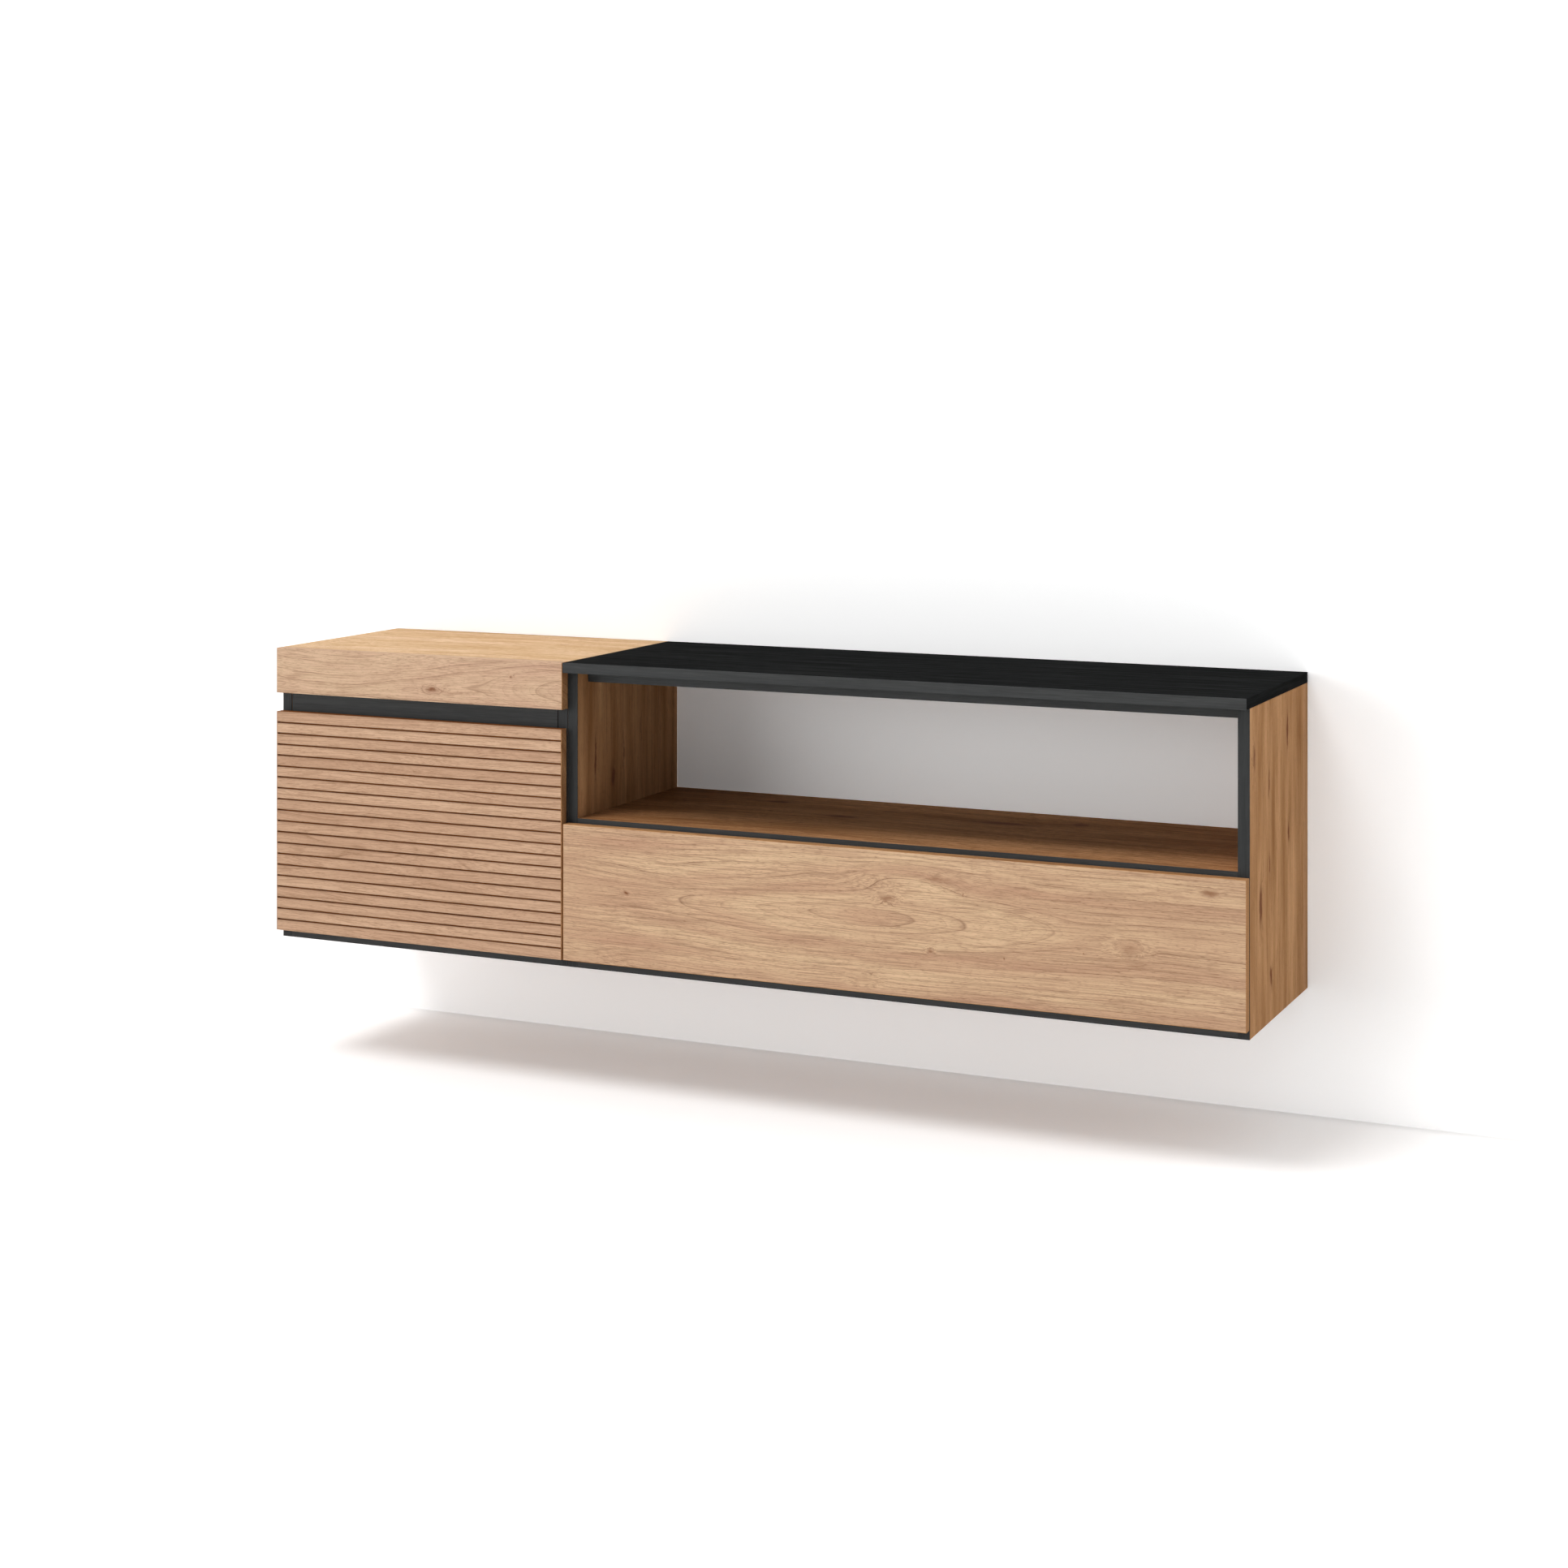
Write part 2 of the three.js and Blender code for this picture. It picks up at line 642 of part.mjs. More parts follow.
// Brake stay: a rod pinned to the flap slides through a block that swivels on the side panel.
// Pin and swivel are equally far from the flap's pivot, so the rod turns half as far as the flap.
// Places off the panel's inner face are measured inward, which is to the right or to the left.
function brakeStay(name, panelFace, inward) {
  const group = new THREE.Group();
  const off = (a, b) => [panelFace + inward * a, panelFace + inward * b].sort((p, q) => p - q);
  const pinY = pivotDepth + stayPinSetback;
  const pinZ = Math.sqrt(stayReach ** 2 - pinY ** 2);
  const pin = new THREE.Vector3(0, pivotY + pinY, flapPivotZ + pinZ);
  const swivelY = stayReach * Math.cos(stayGuideAngle);
  const swivelZ = stayReach * Math.sin(stayGuideAngle);
  const swivel = new THREE.Vector3(0, pivotY + swivelY, flapPivotZ + swivelZ);
  const openPin = new THREE.Vector3(0, pivotY - pinZ, flapPivotZ + pinY);
  const openLength = openPin.distanceTo(swivel);
  const angle = Math.atan2(swivel.z - pin.z, swivel.y - pin.y);
  const stopStart = openLength + guideHalfLength + stayStopGap;
  const eye = disc(0, 0, stayEyeRadius);
  eye.holes.push(disc(0, 0, stayPinRadius + seatGap));
  const shankStart = (stayEyeRadius + stayPinRadius + seatGap) / 2;
  const rod = piece(
    `${name}_rod`,
    zincSteel,
    joined(
      drawnOut("x", eye, [-stayEyeThickness / 2, stayEyeThickness / 2]),
      drawnOut("y", disc(0, 0, stayRodRadius), [shankStart, stopStart + stayStopLength]),
      drawnOut("y", disc(0, 0, stayStopRadius), [stopStart, stopStart + stayStopLength]),
    ),
  );
  rod.position.set(panelFace + inward * stayRodOffset, pin.y, pin.z);
  rod.rotation.x = angle;

  const blockSpan = [-guideWidth / 2, guideWidth / 2];
  const pivotTip = -inward * (guideWidth / 2 + guidePivotLength);
  const pivotSpan = [Math.min(pivotTip, 0), Math.max(pivotTip, 0)];
  const blockSide = rectangle(-guideHalfLength, guideHalfLength, -guideHalfHeight, guideHalfHeight);
  const block = joined(
    drawnOut("x", blockSide, blockSpan),
    drawnOut("x", disc(0, 0, guidePivotRadius), pivotSpan),
  );
  const boreLength = guideHalfLength + cutOverrun;
  const bore = drawnOut("y", disc(0, 0, stayRodRadius + guideBoreGap), [-boreLength, boreLength]);
  const guide = piece(`${name}_guide`, greyPlastic, cut(block, bore));
  guide.position.set(panelFace + inward * stayRodOffset, swivel.y, swivel.z);
  guide.rotation.x = angle;

  const plateShape = rectangle(
    swivel.y - stayPlateHalfLength,
    swivel.y + stayPlateHalfLength,
    swivel.z - stayPlateHalfHeight,
    swivel.z + stayPlateHalfHeight,
  );
  plateShape.holes.push(disc(swivel.y, swivel.z, guidePivotRadius + seatGap));
  const plateSolid = drawnOut("x", plateShape, off(0, stayPlateThickness));
  const plate = piece(`${name}_cabinet_bracket`, zincSteel, plateSolid);

  const lugNear = stayRodOffset + stayEyeThickness / 2 + stayLugGap;
  const lugFar = lugNear + stayLugThickness;
  const baseBack = frontBack + seatGap;
  const lug = outline([
    [baseBack, pin.z - stayEyeRadius],
    [pin.y + stayEyeRadius, pin.z - stayEyeRadius],
    [pin.y + stayEyeRadius, pin.z + stayEyeRadius],
    [baseBack, pin.z + stayEyeRadius],
  ]);
  const base = rectangle(
    baseBack,
    baseBack + stayLugBase,
    pin.z - stayLugHalfHeight,
    pin.z + stayLugHalfHeight,
  );
  const pinFar = lugNear - stayEyeThickness - stayLugGap * 2;
  const bracket = piece(
    `${name}_flap_bracket`,
    zincSteel,
    joined(
      drawnOut("x", base, off(lugFar - stayLugWidth, lugFar)),
      drawnOut("x", lug, off(lugNear, lugFar)),
      drawnOut("x", disc(pin.y, pin.z, stayPinRadius), off(pinFar, lugFar)),
    ),
  );
  group.add(rod, guide, plate, bracket);
  return group;
}

const mediaConsole = new THREE.Group();
const left = new THREE.Group();
left.position.x = -overallWidth / 2;
left.add(leftModule(), slattedDoor());
boltPlaces.forEach((place, i) => left.add(joiningBolt(`joining_bolt_${i + 1}`, place)));

const right = new THREE.Group();
right.position.x = -overallWidth / 2 + rightModuleStart;
right.add(
  rightModule(),
  dropFlap(),
  brakeStay("stay_left", panelThickness, 1),
  brakeStay("stay_right", rightModuleWidth - panelThickness, -1),
);
mediaConsole.add(left, right);

export default mediaConsole;
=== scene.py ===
# A floating media console of two board carcasses on a wall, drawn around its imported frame.
# Metres. X runs to the right along the wall, Y points into the wall, Z points up.
import json
import math

import bmesh
import bpy
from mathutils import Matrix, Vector


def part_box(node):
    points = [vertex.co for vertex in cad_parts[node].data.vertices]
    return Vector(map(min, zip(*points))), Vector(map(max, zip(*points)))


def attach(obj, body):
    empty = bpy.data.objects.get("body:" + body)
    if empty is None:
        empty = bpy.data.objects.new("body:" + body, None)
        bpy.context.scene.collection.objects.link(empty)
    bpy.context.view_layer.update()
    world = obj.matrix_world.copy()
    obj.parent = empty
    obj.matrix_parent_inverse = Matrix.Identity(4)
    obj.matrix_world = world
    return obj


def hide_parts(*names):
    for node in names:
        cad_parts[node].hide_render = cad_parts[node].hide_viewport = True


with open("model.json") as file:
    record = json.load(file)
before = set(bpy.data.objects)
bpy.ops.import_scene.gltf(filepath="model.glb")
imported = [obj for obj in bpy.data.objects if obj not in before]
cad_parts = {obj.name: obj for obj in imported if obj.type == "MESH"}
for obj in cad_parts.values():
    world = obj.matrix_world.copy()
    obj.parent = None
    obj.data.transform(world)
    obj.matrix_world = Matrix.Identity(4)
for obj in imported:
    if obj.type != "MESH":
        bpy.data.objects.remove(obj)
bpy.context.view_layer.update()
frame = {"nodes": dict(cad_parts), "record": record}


# Carcass boards. Each is 16 mm chipboard faced on both sides with an oak print under melamine, cut
# to size and joined into two boxes. A thin black plastic band is ironed on its front edge; its
# rear edge is left as the saw left it.
MM = 0.001


def linear(colour):
    """An sRGB hex colour as the linear numbers that a shader takes."""
    parts = [int(colour[i:i + 2], 16) / 255 for i in (1, 3, 5)]
    curved = [p / 12.92 if p <= 0.04045 else ((p + 0.055) / 1.055) ** 2.4 for p in parts]
    return [*curved, 1.0]


def add(tree, kind, inputs=(), **settings):
    """A node with its settings, and with its inputs set or linked."""
    node = tree.nodes.new(kind)
    for name, value in settings.items():
        setattr(node, name, value)
    for name, value in dict(inputs).items():
        if isinstance(value, bpy.types.NodeSocket):
            tree.links.new(value, node.inputs[name])
        else:
            node.inputs[name].default_value = value
    return node


def new_material(name):
    material = bpy.data.materials.new(name)
    material.use_nodes = True
    material.node_tree.nodes.clear()
    return material, material.node_tree


def surface(tree, shader):
    add(tree, "ShaderNodeOutputMaterial", {"Surface": shader.outputs[0]})


# Oak print: the growth rings of a log cut lengthwise, drawn as distances from a pith line, so that
# they run straight, close into arches and flow round the knots as on a sawn board. The pith sinks at
# the slope slant[0] on both sides of the place slant[1], as far as slant[2] from there.
# Each knot is its place, half length, half width, how far it pushes the rings, and how dark it is;
# one that isn't dark is a broad swirl, and a dark one as wide as the board is painted shade. Slats
# are their start, pitch and half the groove between them. All of these are in mm.
KNOT_AND_SHADE_BROWN = "#7d5138"
KNOT_SHAKE = 4.5 * MM
SLANT_BEND = 40
# Width in mm of the painted shade under the upper edge of each slat.
SLAT_TOP_SHADE_WIDTH = 2.95


def oak(name, early, late, line, grain="X", pith=(0, 0), slant=(0, 0, 0), seed=0.0, knots=(), ring=12,
        drift=24, strength=1.0, slats=None):
    material, tree = new_material(name)
    place = add(tree, "ShaderNodeTexCoord").outputs["Object"]
    turn = (0, math.pi / 2, 0) if grain == "Z" else (0, 0, 0)
    log = add(tree, "ShaderNodeMapping", {
        "Vector": place, "Rotation": turn, "Scale": (1000,) * 3,
    }).outputs[0]
    log = add(tree, "ShaderNodeVectorMath", {0: log, 1: (0, -pith[0], -pith[1])},
              operation="ADD").outputs[0]
    slat_tone = None
    if slats:
        # Each slat is cut from another stretch of veneer, so it starts elsewhere in the log.
        lowest, pitch, half_groove = slats
        height = add(tree, "ShaderNodeSeparateXYZ", {0: log}).outputs["Z"]
        row = add(tree, "ShaderNodeMath", {0: height, 1: pith[1] - lowest}, operation="ADD")
        row = add(tree, "ShaderNodeMath", {0: row.outputs[0], 1: pitch}, operation="DIVIDE")
        share = add(tree, "ShaderNodeMath", {0: row.outputs[0]}, operation="FRACT")
        row = add(tree, "ShaderNodeMath", {0: row.outputs[0]}, operation="FLOOR")
        slat_tone = add(tree, "ShaderNodeTexWhiteNoise", {"W": row.outputs[0]}, noise_dimensions="1D")
        shift = add(tree, "ShaderNodeVectorMath", {0: slat_tone.outputs["Color"], 1: (900, 9, 9)},
                    operation="MULTIPLY")
        log = add(tree, "ShaderNodeVectorMath", {0: log, 1: shift.outputs[0]},
                  operation="ADD").outputs[0]
    # The pith slants and wanders over a few hundred millimetres; the rings ripple over a few tens.
    along = add(tree, "ShaderNodeSeparateXYZ", {0: log}).outputs["X"]
    past = add(tree, "ShaderNodeMath", {0: along, 1: slant[1]}, operation="SUBTRACT")
    past = add(tree, "ShaderNodeMath", {0: past.outputs[0]}, operation="ABSOLUTE")
    past = add(tree, "ShaderNodeMath", {0: past.outputs[0], 1: slant[2], 2: SLANT_BEND},
               operation="SMOOTH_MIN")
    sunk = add(tree, "ShaderNodeMath", {0: past.outputs[0], 1: slant[0]}, operation="MULTIPLY")
    lean = add(tree, "ShaderNodeCombineXYZ", {"Y": sunk.outputs[0]})
    bent = add(tree, "ShaderNodeVectorMath", {0: log, 1: lean.outputs[0]}, operation="ADD").outputs[0]
    for length, width, swing, detail in ((420, 170, drift, 1.0), (130, 34, 2.6, 2.0)):
        scaled = add(tree, "ShaderNodeVectorMath", {
            0: log, 1: (1 / length, 1 / width, 1 / width), 2: (seed + swing,) * 3,
        }, operation="MULTIPLY_ADD")
        wander = add(tree, "ShaderNodeTexNoise", {
            "Vector": scaled.outputs[0], "Scale": 1.0, "Detail": detail,
        })
        step = add(tree, "ShaderNodeVectorMath", {
            0: wander.outputs["Color"], 1: (0, 2 * swing, 2 * swing), 2: (0, -swing, -swing),
        }, operation="MULTIPLY_ADD")
        bent = add(tree, "ShaderNodeVectorMath", {0: bent, 1: step.outputs[0]},
                   operation="ADD").outputs[0]
    flat = add(tree, "ShaderNodeVectorMath", {0: bent, 1: (0, 1, 1)}, operation="MULTIPLY")
    straight = add(tree, "ShaderNodeVectorMath", {0: flat.outputs[0]}, operation="LENGTH")
    straight = straight.outputs["Value"]
    radius = straight
    # Dark knots are no neat ovals: their outline is shaken by up to 4.5 mm, in waves of 16 mm.
    # The broad swirls stay smooth.
    crooked = add(tree, "ShaderNodeTexNoise", {"Vector": place, "Scale": 1000 / 16, "Detail": 2.0})
    crooked = add(tree, "ShaderNodeVectorMath", {
        0: crooked.outputs["Color"], 1: (2 * KNOT_SHAKE,) * 3, 2: (-KNOT_SHAKE,) * 3,
    }, operation="MULTIPLY_ADD")
    shaken = add(tree, "ShaderNodeVectorMath", {0: place, 1: crooked.outputs[0]},
                 operation="ADD").outputs[0]
    dark_knots_and_shade = []
    for centre, half_length, half_width, push, dark in knots:
        away = add(tree, "ShaderNodeVectorMath", {
            0: shaken if dark else place, 1: [-v * MM for v in centre],
        }, operation="ADD")
        size = [half_width * MM] * 3
        size[2 if grain == "Z" else 0] = half_length * MM
        away = add(tree, "ShaderNodeVectorMath", {0: away.outputs[0], 1: [1 / s for s in size]},
                   operation="MULTIPLY")
        away = add(tree, "ShaderNodeVectorMath", {0: away.outputs[0]}, operation="LENGTH")
        near = add(tree, "ShaderNodeMapRange", {
            "Value": away.outputs["Value"],
            "From Min": 1.0, "From Max": 0.0, "To Min": 0.0, "To Max": 1.0,
        }, interpolation_type="SMOOTHERSTEP").outputs[0]
        radius = add(tree, "ShaderNodeMath", {0: near, 1: push, 2: radius},
                     operation="MULTIPLY_ADD").outputs[0]
        if dark:
            # A small dark heart in a wide, faint blush.
            heart = add(tree, "ShaderNodeMath", {0: near, 1: 7.0}, operation="POWER").outputs[0]
            blush = add(tree, "ShaderNodeMath", {0: near, 1: 0.24, 2: heart},
                        operation="MULTIPLY_ADD")
            dark_knots_and_shade.append(add(tree, "ShaderNodeMath", {0: blush.outputs[0], 1: dark},
                              operation="MULTIPLY").outputs[0])
    # Tones follow the rings, so they are drawn over the distance from the pith. Fibres and pores run
    # along the log and bend only at the knots. Pores are drawn 0.8 mm wide and fibres 1 mm wide, a
    # few times as wide as real ones, because those are too fine to show.
    flow = add(tree, "ShaderNodeCombineXYZ", {"X": along, "Y": radius, "Z": seed}).outputs[0]
    bend = add(tree, "ShaderNodeMath", {0: radius, 1: straight}, operation="SUBTRACT").outputs[0]
    bend = add(tree, "ShaderNodeMath", {0: bend, 1: 0.5}, operation="MULTIPLY").outputs[0]
    bend = add(tree, "ShaderNodeCombineXYZ", {"Y": bend, "Z": bend})
    fine = add(tree, "ShaderNodeVectorMath", {0: bent, 1: bend.outputs[0]}, operation="ADD").outputs[0]
    fine = add(tree, "ShaderNodeVectorMath", {0: fine, 1: lean.outputs[0]},
               operation="SUBTRACT").outputs[0]
    patterns = {}
    for label, over, length, width, depth, detail in (
        ("tone", flow, 320, 26, 1, 2.0), ("fade", flow, 190, 10, 1, 1.5),
        ("fibre", fine, 110, 1.0, 1.0, 2.0), ("pores", fine, 9, 0.8, 0.8, 1.0),
    ):
        scaled = add(tree, "ShaderNodeVectorMath", {0: over, 1: (1 / length, 1 / width, 1 / depth)},
                     operation="MULTIPLY")
        patterns[label] = add(tree, "ShaderNodeTexNoise", {
            "Vector": scaled.outputs[0], "Scale": 1.0, "Detail": detail, "Roughness": 0.6,
        }).outputs["Fac"]
    tone = add(tree, "ShaderNodeMapRange", {
        "Value": patterns["tone"], "From Min": 0.3, "From Max": 0.7, "To Min": 0.0, "To Max": 1.0,
    }).outputs[0]
    if slat_tone:
        tone = add(tree, "ShaderNodeMix", {0: 0.55, 2: tone, 3: slat_tone.outputs["Value"]},
                   data_type="FLOAT").outputs[0]
    colour = add(tree, "ShaderNodeMix", {0: tone, 6: linear(early), 7: linear(late)},
                 data_type="RGBA").outputs[2]
    # Two sets of rings: fine ones everywhere, and a darker late-wood line that comes and goes.
    # Both are rows of pores, so the pore pattern breaks them up. Each line darkens slowly and ends
    # sharply. Where the rings are wide, it stays as thin as on a ring of 7 mm.
    line_ring = 7
    amounts = []
    broken = add(tree, "ShaderNodeMapRange", {
        "Value": patterns["pores"], "From Min": 0.36, "From Max": 0.54, "To Min": 0.6, "To Max": 1.0,
    }).outputs[0]
    for spacing, low, high, most in ((ring / 2.7, 0.3, 0.7, 0.36), (ring, 0.38, 0.58, 0.8)):
        turns = add(tree, "ShaderNodeMath", {0: radius, 1: 1 / spacing}, operation="MULTIPLY")
        turns = add(tree, "ShaderNodeMath", {0: patterns["tone"], 1: 1.0, 2: turns.outputs[0]},
                    operation="MULTIPLY_ADD")
        turns = add(tree, "ShaderNodeMath", {0: turns.outputs[0]}, operation="FRACT")
        rings = add(tree, "ShaderNodeValToRGB", {"Fac": turns.outputs[0]})
        ramp = rings.color_ramp
        ramp.elements[0].color = (0, 0, 0, 1)
        ramp.elements[1].color = (0, 0, 0, 1)
        share_of_ring = min(1.0, line_ring / spacing)
        for before, level in ((0.38, 0.0), (0.12, 0.3), (0.05, 1.0)):
            element = ramp.elements.new(1 - before * share_of_ring)
            element.color = (level, level, level, 1)
        fade = add(tree, "ShaderNodeMapRange", {
            "Value": patterns["fade"], "From Min": low, "From Max": high, "To Min": 0.1,
            "To Max": most * strength,
        })
        fade = add(tree, "ShaderNodeMath", {0: fade.outputs[0], 1: broken}, operation="MULTIPLY")
        amounts.append(add(tree, "ShaderNodeMath", {0: rings.outputs["Color"], 1: fade.outputs[0]},
                           operation="MULTIPLY").outputs[0])
    for label, low, high, most in (("fibre", 0.44, 0.68, 0.54), ("pores", 0.57, 0.7, 0.45)):
        amounts.append(add(tree, "ShaderNodeMapRange", {
            "Value": patterns[label], "From Min": low, "From Max": high, "To Min": 0.0,
            "To Max": most * strength,
        }).outputs[0])
    for amount in amounts:
        colour = add(tree, "ShaderNodeMix", {0: amount, 6: colour, 7: linear(line)},
                     data_type="RGBA").outputs[2]
    if slats:
        # The last 3 mm below the upper edge of each slat are drawn darker: painted shade, as if the
        # slat above shaded them.
        rim = add(tree, "ShaderNodeMapRange", {
            "Value": share.outputs[0], "From Min": 1 - (half_groove + SLAT_TOP_SHADE_WIDTH) / pitch,
            "From Max": 1 - half_groove / pitch, "To Min": 0.0, "To Max": 0.4,
        })
        colour = add(tree, "ShaderNodeMix", {0: rim.outputs[0], 6: colour, 7: linear(line)},
                     data_type="RGBA").outputs[2]
    # Dark knots are mixed in here, and so is the painted shade of an entry as wide as the board.
    for heart in dark_knots_and_shade:
        colour = add(tree, "ShaderNodeMix", {0: heart, 6: colour, 7: linear(KNOT_AND_SHADE_BROWN)},
                     data_type="RGBA").outputs[2]
    # Fibres and pores are pressed 0.1 mm into the melamine, and the fibres are a little duller.
    relief = add(tree, "ShaderNodeMath", {0: amounts[2], 1: amounts[3]}, operation="ADD")
    bump = add(tree, "ShaderNodeBump", {
        "Height": relief.outputs[0], "Strength": 0.35, "Distance": 0.1 * MM,
    }, invert=True)
    rough = add(tree, "ShaderNodeMapRange", {
        "Value": patterns["fibre"], "From Min": 0.3, "From Max": 0.7, "To Min": 0.56, "To Max": 0.72,
    })
    # The print itself is dull; only the thin melamine over it has a faint gloss.
    surface(tree, add(tree, "ShaderNodeBsdfPrincipled", {
        "Base Color": colour, "Roughness": rough.outputs[0], "Normal": bump.outputs[0],
        "Specular IOR Level": 0.0, "Coat Weight": 0.05, "Coat Roughness": 0.35,
    }))
    return material


# Black melamine with an embossed grain: near-black, with the faintest lighter streaks along the
# grain. The broad ones belong to the print; the fine ones catch light only from near by, and are
# drawn 1.3 mm wide, three times as wide as real ones.
def black_grain(name, base, streak, grain="X", gloss=0.1, rough=0.5, coat=0.02):
    material, tree = new_material(name)
    place = add(tree, "ShaderNodeTexCoord").outputs["Object"]
    turn = {"X": (0, 0, 0), "Y": (0, 0, math.pi / 2), "Z": (0, math.pi / 2, 0)}[grain]
    log = add(tree, "ShaderNodeMapping", {
        "Vector": place, "Rotation": turn, "Scale": (1000,) * 3,
    }).outputs[0]
    streaks = []
    for length, width in ((260, 9), (38, 1.3)):
        scaled = add(tree, "ShaderNodeVectorMath", {0: log, 1: (1 / length, 1 / width, 1 / width)},
                     operation="MULTIPLY")
        streaks.append(add(tree, "ShaderNodeTexNoise", {
            "Vector": scaled.outputs[0], "Scale": 1.0, "Detail": 3.0, "Roughness": 0.65,
        }).outputs["Fac"])
    both = add(tree, "ShaderNodeMath", {0: streaks[0], 1: streaks[1]}, operation="ADD")
    amount = add(tree, "ShaderNodeMapRange", {
        "Value": both.outputs[0], "From Min": 0.85, "From Max": 1.2, "To Min": 0.0, "To Max": 1.0,
    })
    colour = add(tree, "ShaderNodeMix", {
        "Factor": amount.outputs[0], 6: linear(base), 7: linear(streak),
    }, data_type="RGBA").outputs[2]
    bump = add(tree, "ShaderNodeBump", {
        "Height": streaks[1], "Strength": 0.4, "Distance": 0.12 * MM,
    })
    surface(tree, add(tree, "ShaderNodeBsdfPrincipled", {
        "Base Color": colour, "Roughness": rough, "Normal": bump.outputs[0],
        "Specular IOR Level": gloss, "Coat Weight": coat, "Coat Roughness": 0.4,
    }))
    return material


# Raw chipboard: pressed wood flakes of 1 to 3 mm, dark and pale, as a saw leaves them.
def chipboard(name):
    material, tree = new_material(name)
    place = add(tree, "ShaderNodeTexCoord").outputs["Object"]
    flake = 1.8
    cells = add(tree, "ShaderNodeTexVoronoi", {"Vector": place, "Scale": 1000 / flake})
    grit = add(tree, "ShaderNodeSeparateXYZ", {0: cells.outputs["Color"]})
    ramp = add(tree, "ShaderNodeValToRGB", {"Fac": grit.outputs["X"]})
    ramp.color_ramp.elements[0].color = linear("#8d6d4b")
    ramp.color_ramp.elements[1].color = linear("#d6bd94")
    middle = ramp.color_ramp.elements.new(0.4)
    middle.color = linear("#c3a478")
    bump = add(tree, "ShaderNodeBump", {
        "Height": grit.outputs["Y"], "Strength": 0.5, "Distance": 0.2 * MM,
    })
    surface(tree, add(tree, "ShaderNodeBsdfPrincipled", {
        "Base Color": ramp.outputs["Color"], "Roughness": 0.9, "Normal": bump.outputs[0],
    }))
    return material


# Upright boards: the print stands on end, with wide straight rings and small dark knots.
upright_oak = oak("upright_oak_melamine", "#d2a274", "#9e6f45", "#69432a", grain="Z", pith=(-900, 60),
                  seed=3.1, ring=17, drift=14, strength=0.65, knots=(
                      ((765, -265, 166), 70, 20, 8, 1.3), ((765, -211, 61), 40, 15, 6, 1.3),
                      ((765, -299, 367), 60, 17, -8, 0.7), ((765, -119, 381), 74, 13, 4, 1.4),
                      ((765, -221, 326), 70, 9, 2, 1.0), ((765, -112, 240), 44, 13, 5, 1.1),
                      ((765, -218, 212), 70, 8, 2, 0.9), ((-242, -268, 300), 130, 8, 3, 1.0),
                      ((-242, -212, 266), 42, 14, 6, 1.5), ((-242, -180, 300), 140, 8, 2, 0.6),
                      ((-242, -122, 330), 90, 6, 2, 0.5), ((-242, -60, 290), 140, 9, 2, 0.2),
                      ((-765, -120, 210), 44, 14, 6, 0.9)))
# Lying boards: a print with strong lines, of which the niche floor shows four knots. It is browner
# than the others partly as painted shade, since these boards, the niche floor above all, lie in
# shadow.
lying_oak_and_shade = oak("lying_oak_melamine", "#ca9567", "#9b6b42", "#6c452b", pith=(-560, 140),
                slant=(0.06, 100, 700), seed=7.4, strength=1.6, knots=(
                    ((-37, -66, 220), 60, 22, 5, 1.5), ((105, -147, 220), 70, 26, 5, 1.4),
                    ((340, -105, 220), 110, 30, 6, 1.5), ((450, -70, 220), 40, 24, 5, 1.4)))
# Black bands: ribbons of matt plastic, charcoal rather than black; on upright boards their streaks
# stand upright, and their darker tone is painted shade of the seam, which lies in the fronts' shadow.
black_edge = black_grain("black_edge_band", "#343535", "#3d3e3e")
upright_black_edge_and_shade = black_grain("upright_black_edge_band", "#2d2e2e", "#353636", grain="Z")
raw_edge = chipboard("raw_chipboard_edge")

# The axis of each side of a board, and which way the side looks along it.
SIDES = {"left": (0, -1), "right": (0, 1), "front": (1, -1), "back": (1, 1),
         "bottom": (2, -1), "top": (2, 1)}
BAND = 0.8 * MM
BOARD_EASE = 0.4 * MM
HOLE_FACET = 4 * MM
WELD_WITHIN = 1e-6
ON_PLANE = 1e-7
JUST_INSIDE = 1e-5
FACING = 0.7


def merged_copy(node):
    """The node's triangles as one closed mesh, with its flat faces whole again."""
    mesh = bmesh.new()
    mesh.from_mesh(frame["nodes"][node].data)
    bmesh.ops.remove_doubles(mesh, verts=mesh.verts, dist=WELD_WITHIN)
    bmesh.ops.dissolve_limit(mesh, angle_limit=math.radians(1), verts=mesh.verts,
                             edges=mesh.edges)
    return mesh


def ease_edges(mesh, width, shortest):
    """Rounds every sharp edge, apart from the short facets of drilled holes."""
    sharp = 1.0
    edges = [e for e in mesh.edges
             if e.is_manifold and e.calc_face_angle() > sharp and e.calc_length() > shortest]
    bmesh.ops.bevel(mesh, geom=edges, offset=width, segments=2, profile=0.5, affect="EDGES",
                    clamp_overlap=True)


def piece_from(mesh, name, materials, body, replaced):
    """The mesh as a named piece that rides on a body and stands for the replaced nodes."""
    data = bpy.data.meshes.new(name)
    mesh.to_mesh(data)
    mesh.free()
    for material in materials:
        data.materials.append(material)
    thing = bpy.data.objects.new(name, data)
    bpy.context.scene.collection.objects.link(thing)
    for node in replaced:
        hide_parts(node)
    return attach(thing, body)


